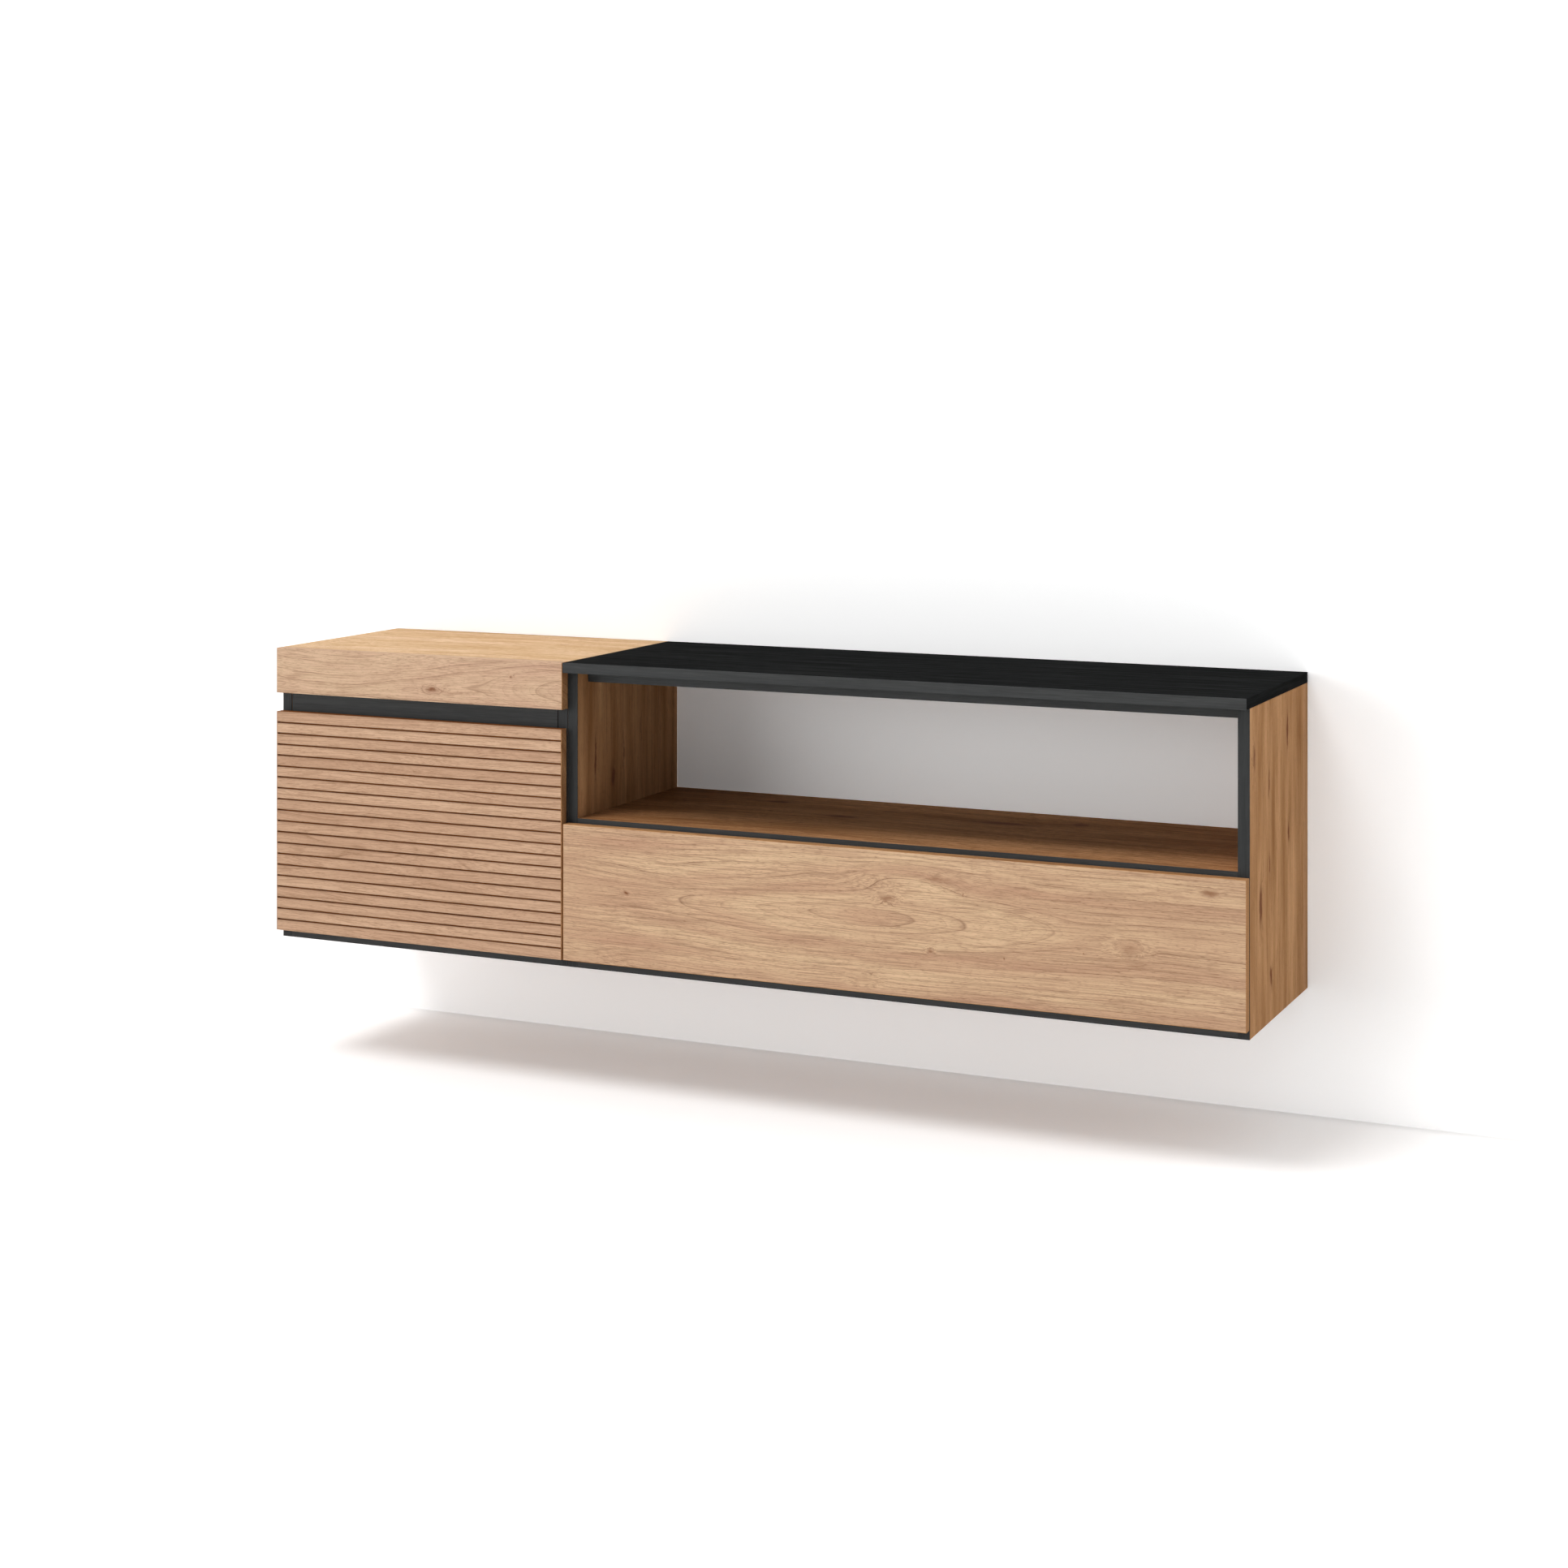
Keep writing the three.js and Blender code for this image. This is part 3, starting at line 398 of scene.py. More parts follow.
def finish_sides(mesh, low, high, finishes):
    """Gives each side named in finishes its own material: (index, band depth into the board)."""
    for side, (index, depth) in finishes.items():
        axis, sign = SIDES[side]
        edge = high if sign > 0 else low
        normal = Vector((0, 0, 0))
        normal[axis] = sign
        limit = edge[axis] - sign * depth
        if depth:
            place = edge.copy()
            place[axis] = limit
            whole = [*mesh.verts, *mesh.edges, *mesh.faces]
            bmesh.ops.bisect_plane(mesh, geom=whole, dist=ON_PLANE, plane_co=place,
                                   plane_no=normal)
        for face in mesh.faces:
            outside = sign * (face.calc_center_median()[axis] - limit)
            on_side = outside > -JUST_INSIDE and face.normal[axis] * sign > FACING
            if outside > ON_PLANE if depth else on_side:
                face.material_index = index


def board(node, body, materials, finishes, ease=BOARD_EASE):
    """A board of the CAD model with eased edges and finished sides, in place of its node."""
    mesh = merged_copy(node)
    ease_edges(mesh, ease, HOLE_FACET)
    finish_sides(mesh, *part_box(node), finishes)
    return piece_from(mesh, f"{node}_dressed", materials, body, [node])


carcass_finishes = {"back": (2, 0), "front": (1, BAND)}
for node in ("left_side_panel", "left_seam_side_panel", "right_seam_side_panel",
             "right_side_panel"):
    board(node, "cabinet", [upright_oak, upright_black_edge_and_shade, raw_edge],
          carcass_finishes)
for node in ("left_bottom_panel", "right_bottom_panel", "niche_floor_panel", "left_shelf",
             "rear_hanging_rail"):
    board(node, "cabinet", [lying_oak_and_shade, black_edge, raw_edge], carcass_finishes)


# Black top board and the two black rails: the same chipboard under a black print. The top lies over
# the sides of its module and is banded on all edges but the rear one; the rails are screwed
# between two sides and leave a hair of shadow at each end.
JOINT_GAP = 1.2 * MM
# The face is dull, so that it stays black under a bright sky. The end bands are plainer and darker
# than the front one, and their streaks run from front to back.
black_face = black_grain("black_melamine_face", "#101111", "#242525", gloss=0.0, rough=0.8,
                         coat=0.012)
black_end = black_grain("black_end_band", "#131414", "#1c1d1d", grain="Y", gloss=0.0, rough=0.8)
board("black_top_panel", "cabinet",
      [black_face, black_edge, raw_edge, black_end],
      {"back": (2, 0), "left": (3, BAND), "right": (3, BAND), "front": (1, BAND)})
for node in ("black_grip_rail", "black_niche_rail"):
    rail = board(node, "cabinet", [black_edge], {})
    middle = (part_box(node)[0].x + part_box(node)[1].x) / 2
    for vertex in rail.data.vertices:
        vertex.co.x += JOINT_GAP if vertex.co.x < middle else -JOINT_GAP


# Oak top board: chipboard like the rest, laid on the left module's sides and held from below. Its
# print is warmer and more yellow than that of the fronts, with quiet straight grain.
top_oak = oak("warm_oak_melamine", "#eaccaa", "#cfaa80", "#a97d4d", pith=(-190, 395),
              slant=(0.1, -420, 400), seed=1.7, ring=20, strength=1.6, knots=(
                  ((-380, -120, 450), 24, 8, 6, 0.5),))
board("oak_top_panel", "cabinet", [top_oak, raw_edge], {"back": (1, 0)})


# Fascia and flap: 15 mm fronts of melamine-faced chipboard. The fascia is fixed under the oak
# top's front edge; the flap hangs on hinges along its lower edge. Bands of a darker oak print are
# ironed on the fascia's ends and on all four edges of the flap; their dark tone is partly painted
# shade, as these ends and edges lie in shadow.

# Fascia: arched rings and one pale swirl round a knot at its left end.
fascia_oak = oak("fascia_oak_melamine", "#d9bb9b", "#caa68c", "#7f5c45", pith=(-347, 406),
                 slant=(0.19, -235, 150), seed=5.2, drift=4, ring=8, strength=0.88, knots=(
                     ((-660, -340, 446), 300, 75, 24, 0.0), ((-483, -340, 399), 34, 13, 9, 0.8),
                     ((-346, -340, 426), 9, 6, 4, 0.8), ((-440, -340, 396), 70, 7, 3, 0.4),
                     ((-735, -340, 408), 60, 12, 2, 0.2)))
# Oak edge band: the same wood seen on a strip 15 mm wide, a brown line round the pale face. Its
# brown is partly painted shade.
band_oak_and_shade = oak("oak_edge_band_and_shade", "#cd9c6d", "#a0724b", "#724a2d", pith=(-560, 140), seed=7.4)
board("oak_fascia", "cabinet", [fascia_oak, band_oak_and_shade],
      {"left": (1, BAND), "right": (1, BAND)})
# Flap: straight lines that close into arches in the middle and flow round a dozen small knots. The
# last entry is no knot but painted shade: it darkens the right end, where the light falls off.
flap_oak = oak("flap_oak_melamine", "#dcbc98", "#c29c7f", "#775541", pith=(-350, 121),
               slant=(0.1, 226, 300), seed=2.6, drift=6, ring=7, strength=0.95, knots=(
                   ((-151, -340, 120), 14, 7, 4, 1.0), ((60, -340, 152), 400, 36, 13, 0.0),
                   ((290, -340, 176), 130, 36, -12, 0.0), ((257, -340, 147), 34, 14, -7, 0.45),
                   ((332, -340, 178), 44, 11, 3, 0.35), ((606, -340, 108), 50, 20, -9, 0.3),
                   ((618, -340, 86), 44, 14, 0, 0.2), ((716, -340, 192), 40, 11, 3, 0.6),
                   ((323, -340, 80), 12, 13, 4, 0.45), ((-215, -340, 18), 90, 30, -9, 0.0),
                   ((223, -340, 30), 46, 16, -6, 0.15), ((370, -340, 161), 3, 6, 1, 0.9),
                   ((430, -340, 80), 3, 6, 1, 0.9), ((543, -340, 96), 4, 4, 1, 0.7),
                   ((765, -340, 121), 1600, 900, 0, 0.12)))
board("drop_flap", "flap", [flap_oak, band_oak_and_shade],
      {side: (1, BAND) for side in ("left", "right", "top", "bottom")})


# Slatted door: a backing board with a row of flat veneered slats glued across it and a 1 mm band on
# each end that hides the ends of the grooves. It hangs on two hinges at its left edge. Its long edges
# have the grooves' dark brown, painted shade of the recess under the fascia, and its back has the
# flap's print.
SLAT_COUNT = 20
GROOVE_DEPTH = 4 * MM
GROOVE_WIDTH = 2.5 * MM
DOOR_BAND = 1 * MM
door_low, door_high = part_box("slatted_door")
slat_pitch = (door_high.z - door_low.z) / SLAT_COUNT
# Slat veneer: quiet grain, of another tone and figure on each slat. In the grooves it is a darker
# brown, partly its own tone and partly painted shade.
slat_oak = oak("slat_oak_veneer", "#d2af92", "#bb967b", "#8c684d", pith=(-250, 150), seed=8.3,
               drift=22, strength=0.95,
               slats=(door_low.z / MM, slat_pitch / MM, GROOVE_WIDTH / 2 / MM))
groove_oak_and_shade = oak("groove_oak_veneer", "#976037", "#7c4c2c", "#50301a", pith=(-310, 180), seed=4.4)


def grown(name, tree, values, places=()):
    """A mesh made by a tree of Geometry Nodes from the named values, on points (place, turn)."""
    seed_mesh = bpy.data.meshes.new(name)
    seed_mesh.from_pydata([place for place, turn in places], [], [])
    turned = seed_mesh.attributes.new("turn", "FLOAT_VECTOR", "POINT")
    turned.data.foreach_set("vector", [angle for place, turn in places for angle in turn])
    thing = bpy.data.objects.new(name, seed_mesh)
    bpy.context.scene.collection.objects.link(thing)
    modifier = thing.modifiers.new(name, "NODES")
    modifier.node_group = tree
    for item in tree.interface.items_tree:
        if item.in_out == "INPUT" and item.name in values:
            modifier[item.identifier] = values[item.name]
    bpy.context.view_layer.update()
    evaluated = thing.evaluated_get(bpy.context.evaluated_depsgraph_get())
    made = bpy.data.meshes.new_from_object(evaluated)
    thing.modifiers.clear()
    bpy.data.objects.remove(thing)
    mesh = bmesh.new()
    mesh.from_mesh(made)
    for face in mesh.faces:
        face.material_index = 0
    return mesh


def nodes_tree(name, sockets):
    """A tree of Geometry Nodes with named inputs, and the sockets that give them."""
    tree = bpy.data.node_groups.new(name, "GeometryNodeTree")
    for label, kind in sockets.items():
        tree.interface.new_socket(label, in_out="INPUT", socket_type=kind)
    tree.interface.new_socket("Geometry", in_out="OUTPUT", socket_type="NodeSocketGeometry")
    return tree, tree.nodes.new("NodeGroupInput").outputs


slat_tree, given = nodes_tree("slat_row", {
    "Slats": "NodeSocketInt", "Slat size": "NodeSocketVector", "First slat": "NodeSocketVector",
    "Step": "NodeSocketVector", "Material": "NodeSocketMaterial",
})
slat = add(slat_tree, "GeometryNodeMeshCube", {"Size": given["Slat size"]})
row = add(slat_tree, "GeometryNodeMeshLine", {
    "Count": given["Slats"], "Start Location": given["First slat"], "Offset": given["Step"],
})
slats = add(slat_tree, "GeometryNodeInstanceOnPoints", {
    "Points": row.outputs["Mesh"], "Instance": slat.outputs["Mesh"],
})
slats = add(slat_tree, "GeometryNodeRealizeInstances", {0: slats.outputs[0]})
slats = add(slat_tree, "GeometryNodeSetMaterial", {
    "Geometry": slats.outputs[0], "Material": given["Material"],
})
add(slat_tree, "NodeGroupOutput", {"Geometry": slats.outputs[0]})

slat_length = door_high.x - door_low.x - 2 * DOOR_BAND
slat_height = slat_pitch - GROOVE_WIDTH
door_middle_x = (door_low.x + door_high.x) / 2
slat_middle_y = door_low.y + GROOVE_DEPTH / 2
slat_mesh = grown("slat_row", slat_tree, {
    "Slats": SLAT_COUNT - 2,
    "Slat size": (slat_length, GROOVE_DEPTH, slat_height),
    "First slat": (door_middle_x, slat_middle_y, door_low.z + slat_pitch * 1.5),
    "Step": (0, 0, slat_pitch),
    "Material": slat_oak,
})
# The lowest and the highest slat reach the door's edges, so they are half a groove taller.
end_height = slat_height + GROOVE_WIDTH / 2
for middle in (door_low.z + end_height / 2, door_high.z - end_height / 2):
    made = bmesh.ops.create_cube(slat_mesh, size=1)["verts"]
    bmesh.ops.scale(slat_mesh, verts=made, vec=(slat_length, GROOVE_DEPTH, end_height))
    bmesh.ops.translate(slat_mesh, verts=made, vec=(door_middle_x, slat_middle_y, middle))
SLAT_EASE = 0.35 * MM
ease_edges(slat_mesh, SLAT_EASE, 6 * MM)
# The slats' outer long edges get the grooves' dark brown too: painted shade.
finish_sides(slat_mesh, door_low, door_high, {"top": (1, 0), "bottom": (1, 0)})
piece_from(slat_mesh, "door_slats", [slat_oak, groove_oak_and_shade], "door", ["slatted_door"])

# The backing is the door's own solid, cut off at the groove floor and at the end bands.
backing = merged_copy("slatted_door")
groove_floor = Vector((0, door_low.y + GROOVE_DEPTH, 0))
for plane, outward in (
    (groove_floor, (0, -1, 0)),
    (Vector((door_low.x + DOOR_BAND, 0, 0)), (-1, 0, 0)),
    (Vector((door_high.x - DOOR_BAND, 0, 0)), (1, 0, 0)),
):
    shift = Vector(outward) * -JUST_INSIDE
    bmesh.ops.bisect_plane(backing, geom=[*backing.verts, *backing.edges, *backing.faces],
                           dist=ON_PLANE, plane_co=plane + shift, plane_no=outward,
                           clear_outer=True)
    rim = [e for e in backing.edges if e.is_boundary]
    bmesh.ops.edgeloop_fill(backing, edges=rim)
bmesh.ops.recalc_face_normals(backing, faces=backing.faces)
finish_sides(backing, door_low, door_high, {"back": (1, 0)})
piece_from(backing, "door_backing_board", [groove_oak_and_shade, flap_oak], "door",
           ["slatted_door"])

BAND_EASE = 0.25 * MM
bands = bmesh.new()
for middle in (door_low.x + DOOR_BAND / 2, door_high.x - DOOR_BAND / 2):
    made = bmesh.ops.create_cube(bands, size=1)["verts"]
    bmesh.ops.scale(bands, verts=made, vec=(DOOR_BAND, *(door_high - door_low)[1:]))
    bmesh.ops.translate(bands, verts=made, vec=(middle, *((door_low + door_high) / 2)[1:]))
ease_edges(bands, BAND_EASE, HOLE_FACET)
piece_from(bands, "door_end_bands", [band_oak_and_shade], "door", ["slatted_door"])


# Back panels: 3 mm hardboard nailed into a rebate, with white lacquer on the inside and bare brown
# fibre towards the wall.
THIN_EASE = 0.2 * MM


# Pressed wood fibre: a felt of strands, soft and flat under lacquer and dull where bare. They are
# drawn 2.5 mm across, because real ones are too fine to show.
def hardboard(name, colour, rough):
    material, tree = new_material(name)
    place = add(tree, "ShaderNodeTexCoord").outputs["Object"]
    fibre = 2.5
    felt = add(tree, "ShaderNodeTexNoise", {"Vector": place, "Scale": 1000 / fibre, "Detail": 4.0})
    shade = add(tree, "ShaderNodeMapRange", {
        "Value": felt.outputs["Fac"], "From Min": 0.3, "From Max": 0.7, "To Min": 0.86, "To Max": 1.06,
    })
    colour = add(tree, "ShaderNodeVectorMath", {0: linear(colour)[:3], "Scale": shade.outputs[0]},
                 operation="SCALE")
    bump = add(tree, "ShaderNodeBump", {
        "Height": felt.outputs["Fac"], "Strength": 0.3, "Distance": 0.1 * MM,
    })
    surface(tree, add(tree, "ShaderNodeBsdfPrincipled", {
        "Base Color": colour.outputs[0], "Roughness": rough, "Normal": bump.outputs[0],
    }))
    return material


white_lacquer = hardboard("white_lacquered_hardboard", "#e6e4e0", 0.5)
brown_fibre = hardboard("raw_brown_hardboard", "#94704f", 0.85)
for node in ("left_back_panel", "lower_back_panel"):
    board(node, "cabinet", [white_lacquer, brown_fibre], {"back": (1, 0)},
          THIN_EASE)


# Fittings: hinges, stays, hangers and wall plates of pressed and plated steel, and guides, pins and
# latch of moulded plastic. Their edges are slightly rounded, as pressing and moulding leave them.
FITTING_EASE = 0.25 * MM
SMALLEST_EDGE = 0.5 * MM
SHARP_ANGLE = math.radians(38)


# Plated steel: its gloss comes and goes in clouds a few millimetres wide, as a thin plating has it.
def metal(name, colour, rough, spread, grain):
    material, tree = new_material(name)
    place = add(tree, "ShaderNodeTexCoord").outputs["Object"]
    cloud = add(tree, "ShaderNodeTexNoise", {"Vector": place, "Scale": 1000 / grain, "Detail": 3.0})
    wear = add(tree, "ShaderNodeMapRange", {
        "Value": cloud.outputs["Fac"], "From Min": 0.3, "From Max": 0.7,
        "To Min": rough - spread, "To Max": rough + spread,
    })
    surface(tree, add(tree, "ShaderNodeBsdfPrincipled", {
        "Base Color": linear(colour), "Metallic": 1.0, "Roughness": wear.outputs[0],
    }))
    return material


# Nickel is bright and even; zinc is duller, a little bluish and more clouded.
nickel = metal("nickel_plated_steel", "#c9cacb", 0.24, 0.06, 4)
zinc = metal("zinc_plated_steel", "#b4b8bc", 0.4, 0.1, 7)


# Moulded plastic: a half-matt grey with the texture of a spark-eroded mould, drawn 0.6 mm wide,
# coarser than it is.
def moulded(name, colour):
    material, tree = new_material(name)
    place = add(tree, "ShaderNodeTexCoord").outputs["Object"]
    texture = add(tree, "ShaderNodeTexNoise", {"Vector": place, "Scale": 1000 / 0.6, "Detail": 2.0})
    bump = add(tree, "ShaderNodeBump", {
        "Height": texture.outputs["Fac"], "Strength": 0.3, "Distance": 0.05 * MM,
    })
    surface(tree, add(tree, "ShaderNodeBsdfPrincipled", {
        "Base Color": linear(colour), "Roughness": 0.5, "Normal": bump.outputs[0],
    }))
    return material


grey_moulding = moulded("grey_moulded_plastic", "#8d9093")


def fitting(node, body, material):
    """A fitting of the CAD model with rounded edges, in place of its node."""
    mesh = merged_copy(node)
    ease_edges(mesh, FITTING_EASE, SMALLEST_EDGE)
    thing = piece_from(mesh, f"{node}_dressed", [material], body, [node])
    thing.data.shade_smooth()
    thing.data.set_sharp_from_angle(angle=SHARP_ANGLE)
    return thing


finish_of = {"nickel": nickel, "zinc_steel": zinc, "grey_plastic": grey_moulding}
slot_of = {entry["node"]: entry["material_slot"] for entry in frame["record"]["subparts"]}
for body, members in frame["record"]["behaviour"]["bodies"].items():
    for node in members:
        if slot_of[node] in finish_of:
            fitting(node, body, finish_of[slot_of[node]])


# Screws and nails. Zinc-plated pan heads with a cross recess hold every hinge, bracket and hanger;
# flat nails hold the back panels in their rebates. The CAD model leaves these small fasteners out.
QUARTER = math.pi / 2
fastener_tree, given = nodes_tree("fasteners", {
    "Places": "NodeSocketGeometry", "Head radius": "NodeSocketFloat", "Head height": "NodeSocketFloat",
    "Recess": "NodeSocketVector", "Material": "NodeSocketMaterial",
})
head = add(fastener_tree, "GeometryNodeMeshCylinder", {
    "Vertices": 20, "Side Segments": 4,
    "Radius": given["Head radius"], "Depth": given["Head height"],
})
# The head narrows towards its top, slowly at first: its width there is 0.6 of that at its foot.
TOP_WIDTH = 0.6
spot = add(fastener_tree, "GeometryNodeInputPosition").outputs[0]
height = add(fastener_tree, "ShaderNodeSeparateXYZ", {0: spot}).outputs["Z"]
rise = add(fastener_tree, "ShaderNodeMath", {0: height, 1: given["Head height"]},
           operation="DIVIDE")
rise = add(fastener_tree, "ShaderNodeMath", {0: rise.outputs[0], 1: 0.5}, operation="ADD")
rise = add(fastener_tree, "ShaderNodeMath", {0: rise.outputs[0], 1: 3.0}, operation="POWER")
rise = add(fastener_tree, "ShaderNodeMath", {0: rise.outputs[0], 1: TOP_WIDTH - 1, 2: 1.0},
           operation="MULTIPLY_ADD")
width = add(fastener_tree, "ShaderNodeCombineXYZ", {
    "X": rise.outputs[0], "Y": rise.outputs[0], "Z": 1.0,
})
domed = add(fastener_tree, "ShaderNodeVectorMath", {0: spot, 1: width.outputs[0]},
            operation="MULTIPLY")
head = add(fastener_tree, "GeometryNodeSetPosition", {
    "Geometry": head.outputs["Mesh"], "Position": domed.outputs[0],
})
arm = add(fastener_tree, "GeometryNodeMeshCube", {"Size": given["Recess"]})
half_up = add(fastener_tree, "ShaderNodeMath", {0: given["Head height"], 1: 0.5},
              operation="MULTIPLY")
lifted = add(fastener_tree, "ShaderNodeCombineXYZ", {"Z": half_up.outputs[0]})
for quarter in (0, QUARTER):
    slot_arm = add(fastener_tree, "GeometryNodeTransform", {
        "Geometry": arm.outputs["Mesh"], "Translation": lifted.outputs[0], "Rotation": (0, 0, quarter),
    })
    head = add(fastener_tree, "GeometryNodeMeshBoolean", {
        "Mesh 1": head.outputs[0], "Mesh 2": slot_arm.outputs[0],
    }, operation="DIFFERENCE")
turned = add(fastener_tree, "GeometryNodeInputNamedAttribute", {"Name": "turn"},
             data_type="FLOAT_VECTOR")
heads = add(fastener_tree, "GeometryNodeInstanceOnPoints", {
    "Points": given["Places"], "Instance": head.outputs[0],
    "Rotation": turned.outputs["Attribute"],
})
# The driver leaves each cross at another angle.
left_at = add(fastener_tree, "FunctionNodeRandomValue", {
    "Min": (0, 0, 0), "Max": (0, 0, QUARTER), "Seed": 11,
}, data_type="FLOAT_VECTOR")
heads = add(fastener_tree, "GeometryNodeRotateInstances", {
    "Instances": heads.outputs[0], "Rotation": left_at.outputs["Value"],
})
heads = add(fastener_tree, "GeometryNodeRealizeInstances", {0: heads.outputs[0]})
heads = add(fastener_tree, "GeometryNodeSetMaterial", {
    "Geometry": heads.outputs[0], "Material": given["Material"],
})
add(fastener_tree, "NodeGroupOutput", {"Geometry": heads.outputs[0]})

HEAD_TURNS = {"right": (0, QUARTER, 0), "left": (0, -QUARTER, 0), "back": (-QUARTER, 0, 0),
              "front": (QUARTER, 0, 0), "top": (0, 0, 0), "bottom": (2 * QUARTER, 0, 0)}


def heads_on(node, facing, spots):
    """Places and turns of heads on one side of a node's box. A spot is in mm from the box's lowest
    corner and, along the side's own axis, in mm below that side."""
    low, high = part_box(node)
    axis, sign = SIDES[facing]
    places = []
    for spot in spots:
        place = low + Vector(spot) * MM
        place[axis] = (high if sign > 0 else low)[axis] - sign * spot[axis] * MM
        places.append((place, HEAD_TURNS[facing]))
    return places


# Each hinge has two screws through the ears of its cup, two through its mounting plate, and two
# small ones on its arm, which clamp and adjust it.
CUP_EARS = (5, 55)
CUP_SCREW_INSET = 24.2
PLATE_ENDS = (5, 27)
PLATE_MIDDLE = 17
ARM_SCREWS = (31, 47)
ARM_MIDDLE = 6
head_places = {"cabinet": [], "door": [], "flap": []}
for node in ("door_hinge_lower", "door_hinge_upper"):
    head_places["door"] += heads_on(f"{node}_cup", "back",
                                    [(CUP_SCREW_INSET, 0, ear) for ear in CUP_EARS])
    head_places["cabinet"] += heads_on(f"{node}_plate", "right",
                                       [(0, PLATE_MIDDLE, end) for end in PLATE_ENDS])
    head_places["cabinet"] += heads_on(f"{node}_arm", "right",
                                       [(0, along, ARM_MIDDLE) for along in ARM_SCREWS])
for node in ("flap_hinge_left", "flap_hinge_middle", "flap_hinge_right"):
    head_places["flap"] += heads_on(f"{node}_cup", "back",
                                    [(ear, 0, CUP_SCREW_INSET) for ear in CUP_EARS])
    head_places["cabinet"] += heads_on(f"{node}_plate", "top",
                                       [(end, PLATE_MIDDLE, 0) for end in PLATE_ENDS])
    head_places["cabinet"] += heads_on(f"{node}_arm", "top",
                                       [(ARM_MIDDLE, along, 0) for along in ARM_SCREWS])

# The stays' brackets and the latch have a screw near each end, and each hanger has two through its
# side flange and two more on its front, which adjust it.
BRACKET_ENDS = (5, 39)
BRACKET_MIDDLE = 13
FLAP_BRACKET_ENDS = (3, 21)
FLAP_BRACKET_BASE = 17.3
for stay, facing, aside in (("stay_left", "right", 6), ("stay_right", "left", 8)):
    head_places["cabinet"] += heads_on(f"{stay}_cabinet_bracket", facing,
                                       [(0, end, BRACKET_MIDDLE) for end in BRACKET_ENDS])
    head_places["flap"] += heads_on(f"{stay}_flap_bracket", "back",
                                    [(aside, FLAP_BRACKET_BASE, end) for end in FLAP_BRACKET_ENDS])
LATCH_ENDS = (8, 52)
LATCH_MIDDLE = 8
head_places["cabinet"] += heads_on("push_latch_body", "bottom",
                                   [(LATCH_MIDDLE, end, 0) for end in LATCH_ENDS])
HANGER_SIDE_SCREWS = ((8, 8), (22, 34))
HANGER_FRONT_SCREWS = (12, 32)
HANGER_MIDDLE = 12
for module in ("left_module", "right_module"):
    for hanger, facing in (("left", "right"), ("right", "left")):
        node = f"{module}_{hanger}_hanger"
        head_places["cabinet"] += heads_on(node, facing,
                                           [(0, *screw) for screw in HANGER_SIDE_SCREWS])
        head_places["cabinet"] += heads_on(node, "front",
                                           [(HANGER_MIDDLE, 0, up) for up in HANGER_FRONT_SCREWS])

screw_size = {"Head radius": 3.2 * MM, "Head height": 1.8 * MM, "Material": zinc,
              "Recess": (4.2 * MM, 0.9 * MM, 1.8 * MM)}
for body, places in head_places.items():
    screws = piece_from(grown(f"{body}_screws", fastener_tree, screw_size, places),
                        f"{body}_screws", [zinc], body, [])
    screws.data.shade_smooth()
    screws.data.set_sharp_from_angle(angle=SHARP_ANGLE)

# The nails stand in a row along each edge of a back panel, about 110 mm apart.
NAIL_STEP = 110
NAIL_INSET = 5
nail_places = []
for node in ("left_back_panel", "lower_back_panel"):
    low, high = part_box(node)
    wide, tall = (high.x - low.x) / MM, (high.z - low.z) / MM
    for length, cross, along_x in ((wide, tall, True), (tall, wide, False)):
        count = round(length / NAIL_STEP)
        for index in range(count):
            run = NAIL_INSET + (index + 0.5) * (length - 2 * NAIL_INSET) / count
            for inset in (NAIL_INSET, cross - NAIL_INSET):
                spot = (run, 0, inset) if along_x else (inset, 0, run)
                nail_places += heads_on(node, "back", (spot,))
nails = grown("back_panel_nails", fastener_tree, {
    "Head radius": 1.6 * MM, "Head height": 0.8 * MM, "Material": zinc,
    "Recess": (0.4 * MM, 0.4 * MM, 0.2 * MM),
}, nail_places)
piece_from(nails, "back_panel_nails", [zinc], "cabinet", [])


# Wall and floor: one pale studio corner. The wall stands at the console's back. Seen from behind,
# wall and floor let the view through, and so does the wall for light that reaches the rear faces.
FLOOR_BELOW = 181 * MM
STAGE_REACH = 9.0
WALL_GAP = 0.5 * MM
REAR_RECESS = 25 * MM


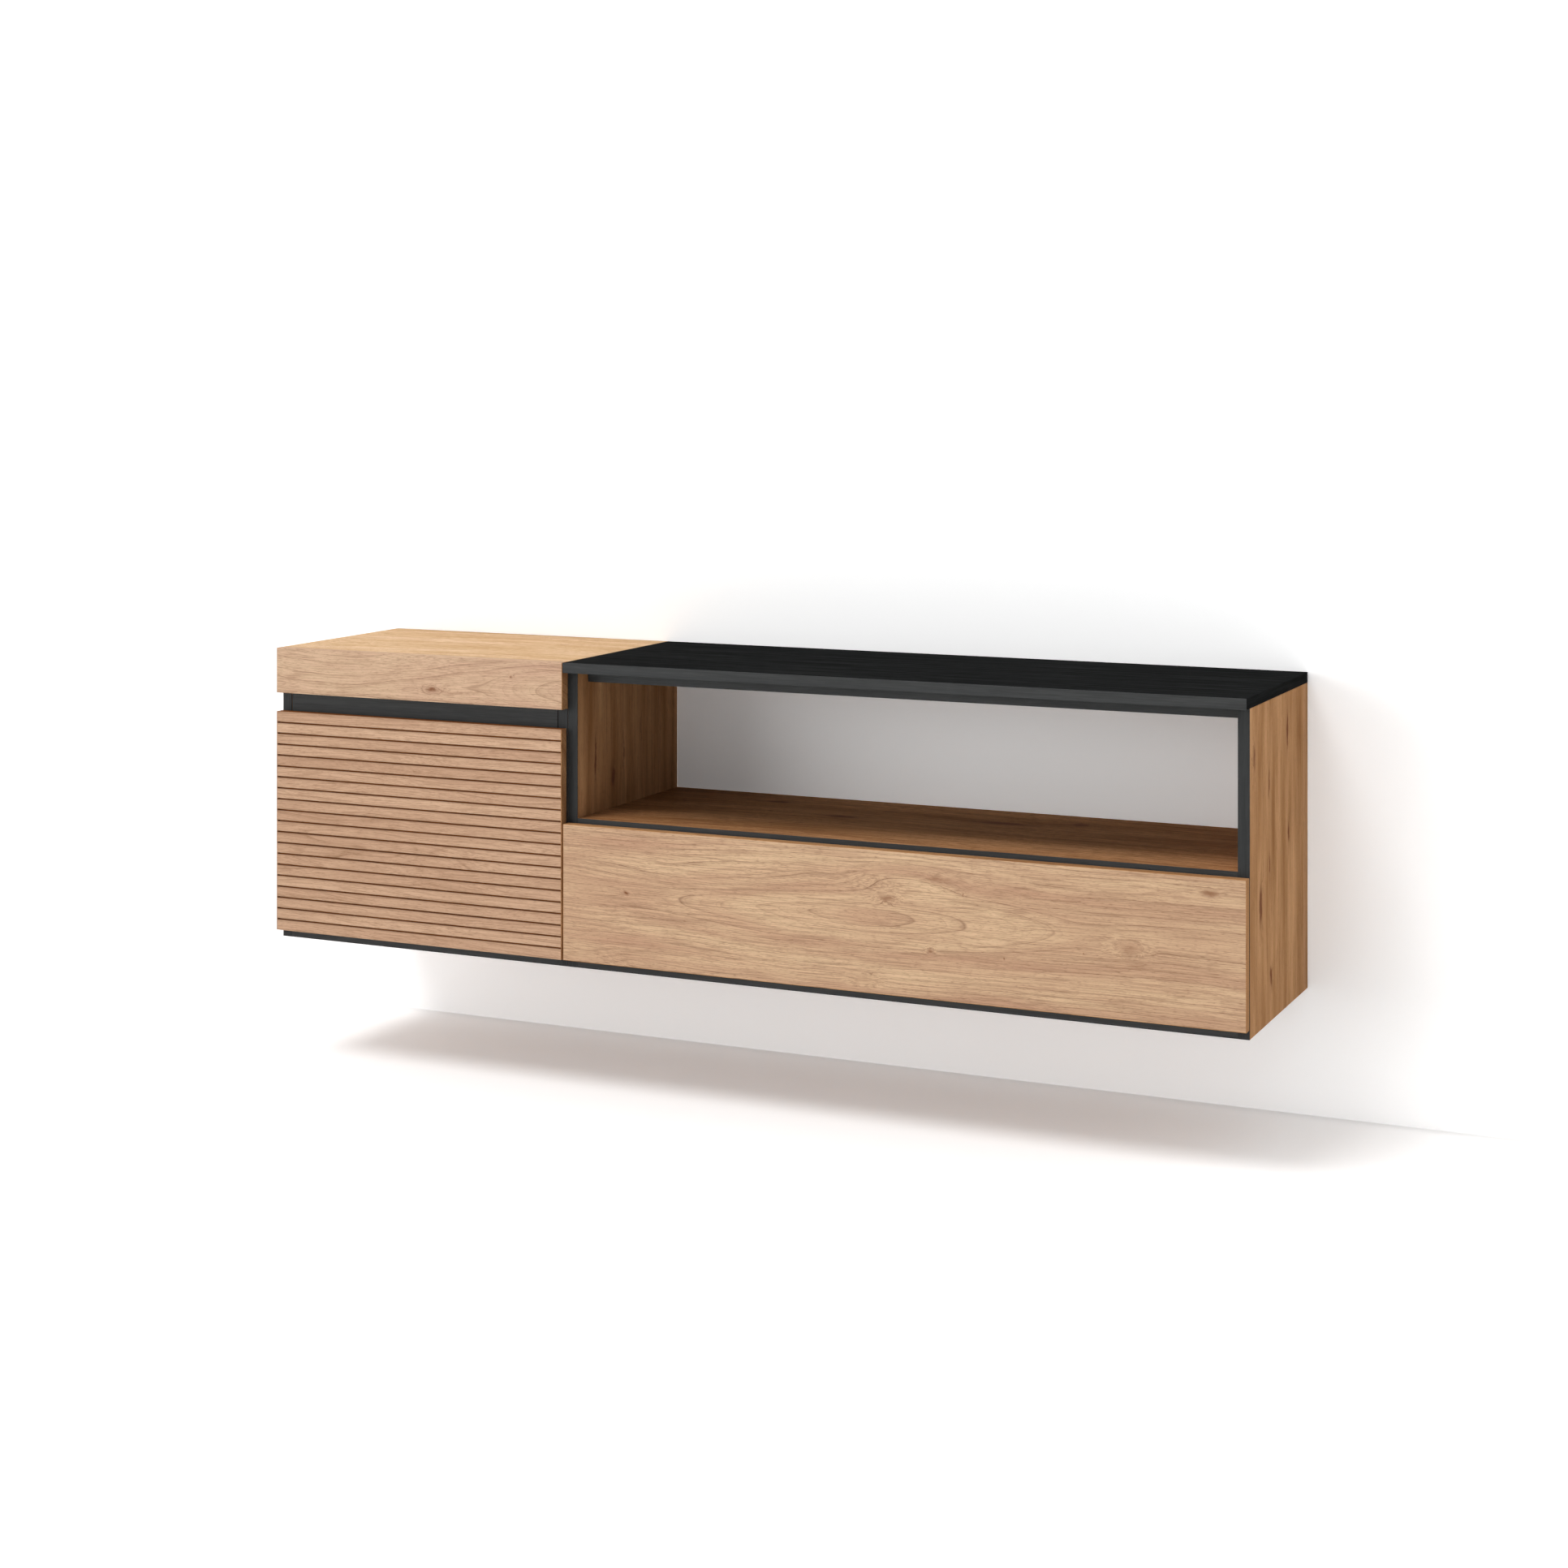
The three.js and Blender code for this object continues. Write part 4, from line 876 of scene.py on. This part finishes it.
def stage_paint(name, clear_within, bounce, lift):
    """Matt paint that the camera sees as white, with its shadows lifted a little. The console gets
    back only the share bounce of the light. It is clear from behind and to rays shorter than
    clear_within."""
    material, tree = new_material(name)
    paths = add(tree, "ShaderNodeLightPath")
    seen = add(tree, "ShaderNodeMath", {
        0: paths.outputs["Is Camera Ray"], 1: paths.outputs["Is Glossy Ray"],
    }, operation="MAXIMUM")
    seen = add(tree, "ShaderNodeMath", {
        0: seen.outputs[0], 1: paths.outputs["Is Transmission Ray"],
    }, operation="MAXIMUM")
    glow = add(tree, "ShaderNodeMath", {0: seen.outputs[0], 1: lift}, operation="MULTIPLY")
    glow = add(tree, "ShaderNodeEmission", {"Color": (1, 1, 1, 1), "Strength": glow.outputs[0]})
    tint = add(tree, "ShaderNodeMix", {
        0: seen.outputs[0], 6: (bounce, bounce, bounce, 1), 7: (1, 1, 1, 1),
    }, data_type="RGBA")
    paint = add(tree, "ShaderNodeBsdfDiffuse", {"Color": tint.outputs[2]})
    lit = add(tree, "ShaderNodeAddShader", {0: paint.outputs[0], 1: glow.outputs[0]})
    close = add(tree, "ShaderNodeMath", {0: paths.outputs["Ray Length"], 1: clear_within},
                operation="LESS_THAN")
    behind = add(tree, "ShaderNodeNewGeometry").outputs["Backfacing"]
    clear = add(tree, "ShaderNodeMath", {0: behind, 1: close.outputs[0]}, operation="MAXIMUM")
    nothing = add(tree, "ShaderNodeBsdfTransparent")
    surface(tree, add(tree, "ShaderNodeMixShader", {
        0: clear.outputs[0], 1: lit.outputs[0], 2: nothing.outputs[0],
    }))
    return material


def stage_sheet(name, across, rows, place, materials, window):
    """A sheet of cells between the values in across and rows, one of which has its own paint."""
    corners = [place(u, v) for v in rows for u in across]
    cells = []
    for row in range(len(rows) - 1):
        for column in range(len(across) - 1):
            first = row * len(across) + column
            cells.append((first, first + 1, first + 1 + len(across), first + len(across)))
    data = bpy.data.meshes.new(name)
    data.from_pydata(corners, [], cells)
    for material in materials:
        data.materials.append(material)
    if window is not None:
        data.polygons[window].material_index = 1
    sheet = bpy.data.objects.new(name, data)
    bpy.context.scene.collection.objects.link(sheet)


floor_paint = stage_paint("pale_floor_paint", clear_within=0.0, bounce=0.9, lift=0.2)
stage_sheet("studio_floor", (-STAGE_REACH, STAGE_REACH), (-STAGE_REACH, STAGE_REACH),
            lambda u, v: (u, v, -FLOOR_BELOW), [floor_paint], None)
# The wall is a grid of three by three cells. The middle one shows through the niche and gets less
# light, so it has a paint of its own.
NICHE_CELL = 4
wall_paint = stage_paint("pale_wall_paint", clear_within=REAR_RECESS, bounce=0.9, lift=0.2)
niche_paint = stage_paint("niche_wall_paint", clear_within=0.0, bounce=0.85, lift=0.07)
niche_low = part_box("niche_floor_panel")[1]
niche_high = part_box("black_top_panel")[0]
niche_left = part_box("right_seam_side_panel")[1].x
niche_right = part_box("right_side_panel")[0].x
stage_sheet("studio_wall", (-STAGE_REACH, niche_left, niche_right, STAGE_REACH),
            (-FLOOR_BELOW, niche_low.z, niche_high.z, STAGE_REACH),
            lambda u, v: (u, WALL_GAP, v), [wall_paint, niche_paint], NICHE_CELL)


# Light: a pale sky that is brightest high up on the left in front, and two broad suns from that
# side. The high one lights the tops; the low one, broader and stronger, comes in level and lights
# the fronts. The camera sees the sky as plain white.
SKY_FROM = Vector((-0.5, -0.55, 0.67)).normalized()
SKY_DARKEST = 0.11
SKY_BRIGHTEST = 0.77
# Name, heading, breadth in degrees, strength.
SUNS = (
    ("high_sun", (0.28, 0.34, -0.88), 25, 1.32),
    ("low_sun", (0.62, 0.78, 0.02), 40, 1.52),
)
world = bpy.data.worlds.new("studio")
bpy.context.scene.world = world
world.use_nodes = True
sky = world.node_tree
sky.nodes.clear()
rays = add(sky, "ShaderNodeLightPath")
seen = add(sky, "ShaderNodeMath", {
    0: rays.outputs["Is Camera Ray"], 1: rays.outputs["Is Glossy Ray"],
}, operation="MAXIMUM")
seen = add(sky, "ShaderNodeMath", {0: seen.outputs[0], 1: rays.outputs["Is Transmission Ray"]},
           operation="MAXIMUM")
side = add(sky, "ShaderNodeVectorMath", {
    0: add(sky, "ShaderNodeTexCoord").outputs["Generated"], 1: SKY_FROM,
}, operation="DOT_PRODUCT")
level = add(sky, "ShaderNodeMapRange", {
    "Value": side.outputs["Value"], "From Min": -0.2, "From Max": 1.0,
    "To Min": SKY_DARKEST, "To Max": SKY_BRIGHTEST,
})
level = add(sky, "ShaderNodeMix", {0: seen.outputs[0], 2: level.outputs[0], 3: 1.0},
            data_type="FLOAT")
glow = add(sky, "ShaderNodeBackground", {"Color": (1, 1, 1, 1), "Strength": level.outputs[0]})
add(sky, "ShaderNodeOutputWorld", {"Surface": glow.outputs[0]})
for name, heading, spread, power in SUNS:
    sun = bpy.data.lights.new(name, "SUN")
    sun.angle = math.radians(spread)
    sun.energy = power
    stand = bpy.data.objects.new(name, sun)
    stand.rotation_euler = Vector(heading).to_track_quat("-Z", "Y").to_euler()
    bpy.context.scene.collection.objects.link(stand)


# Camera: level, about a metre above the floor, turned to the left, with the horizon shifted up to a
# quarter of the frame's height from its top.
LENS = 60
SENSOR = 36
PHOTO_SIDE = 1932
HORIZON_PIXEL = 460.35
CAMERA_PLACE = (1.6414, -3.6933, 0.8748)
CAMERA_TURN = math.radians(24.68)
view = bpy.data.cameras.new("camera")
view.lens = LENS
view.sensor_width = SENSOR
view.shift_y = (HORIZON_PIXEL - PHOTO_SIDE / 2) / PHOTO_SIDE
camera = bpy.data.objects.new("camera", view)
camera.location = CAMERA_PLACE
camera.rotation_euler = (math.pi / 2, 0, CAMERA_TURN)
bpy.context.scene.collection.objects.link(camera)
bpy.context.scene.camera = camera
bpy.context.scene.view_settings.view_transform = "Standard"
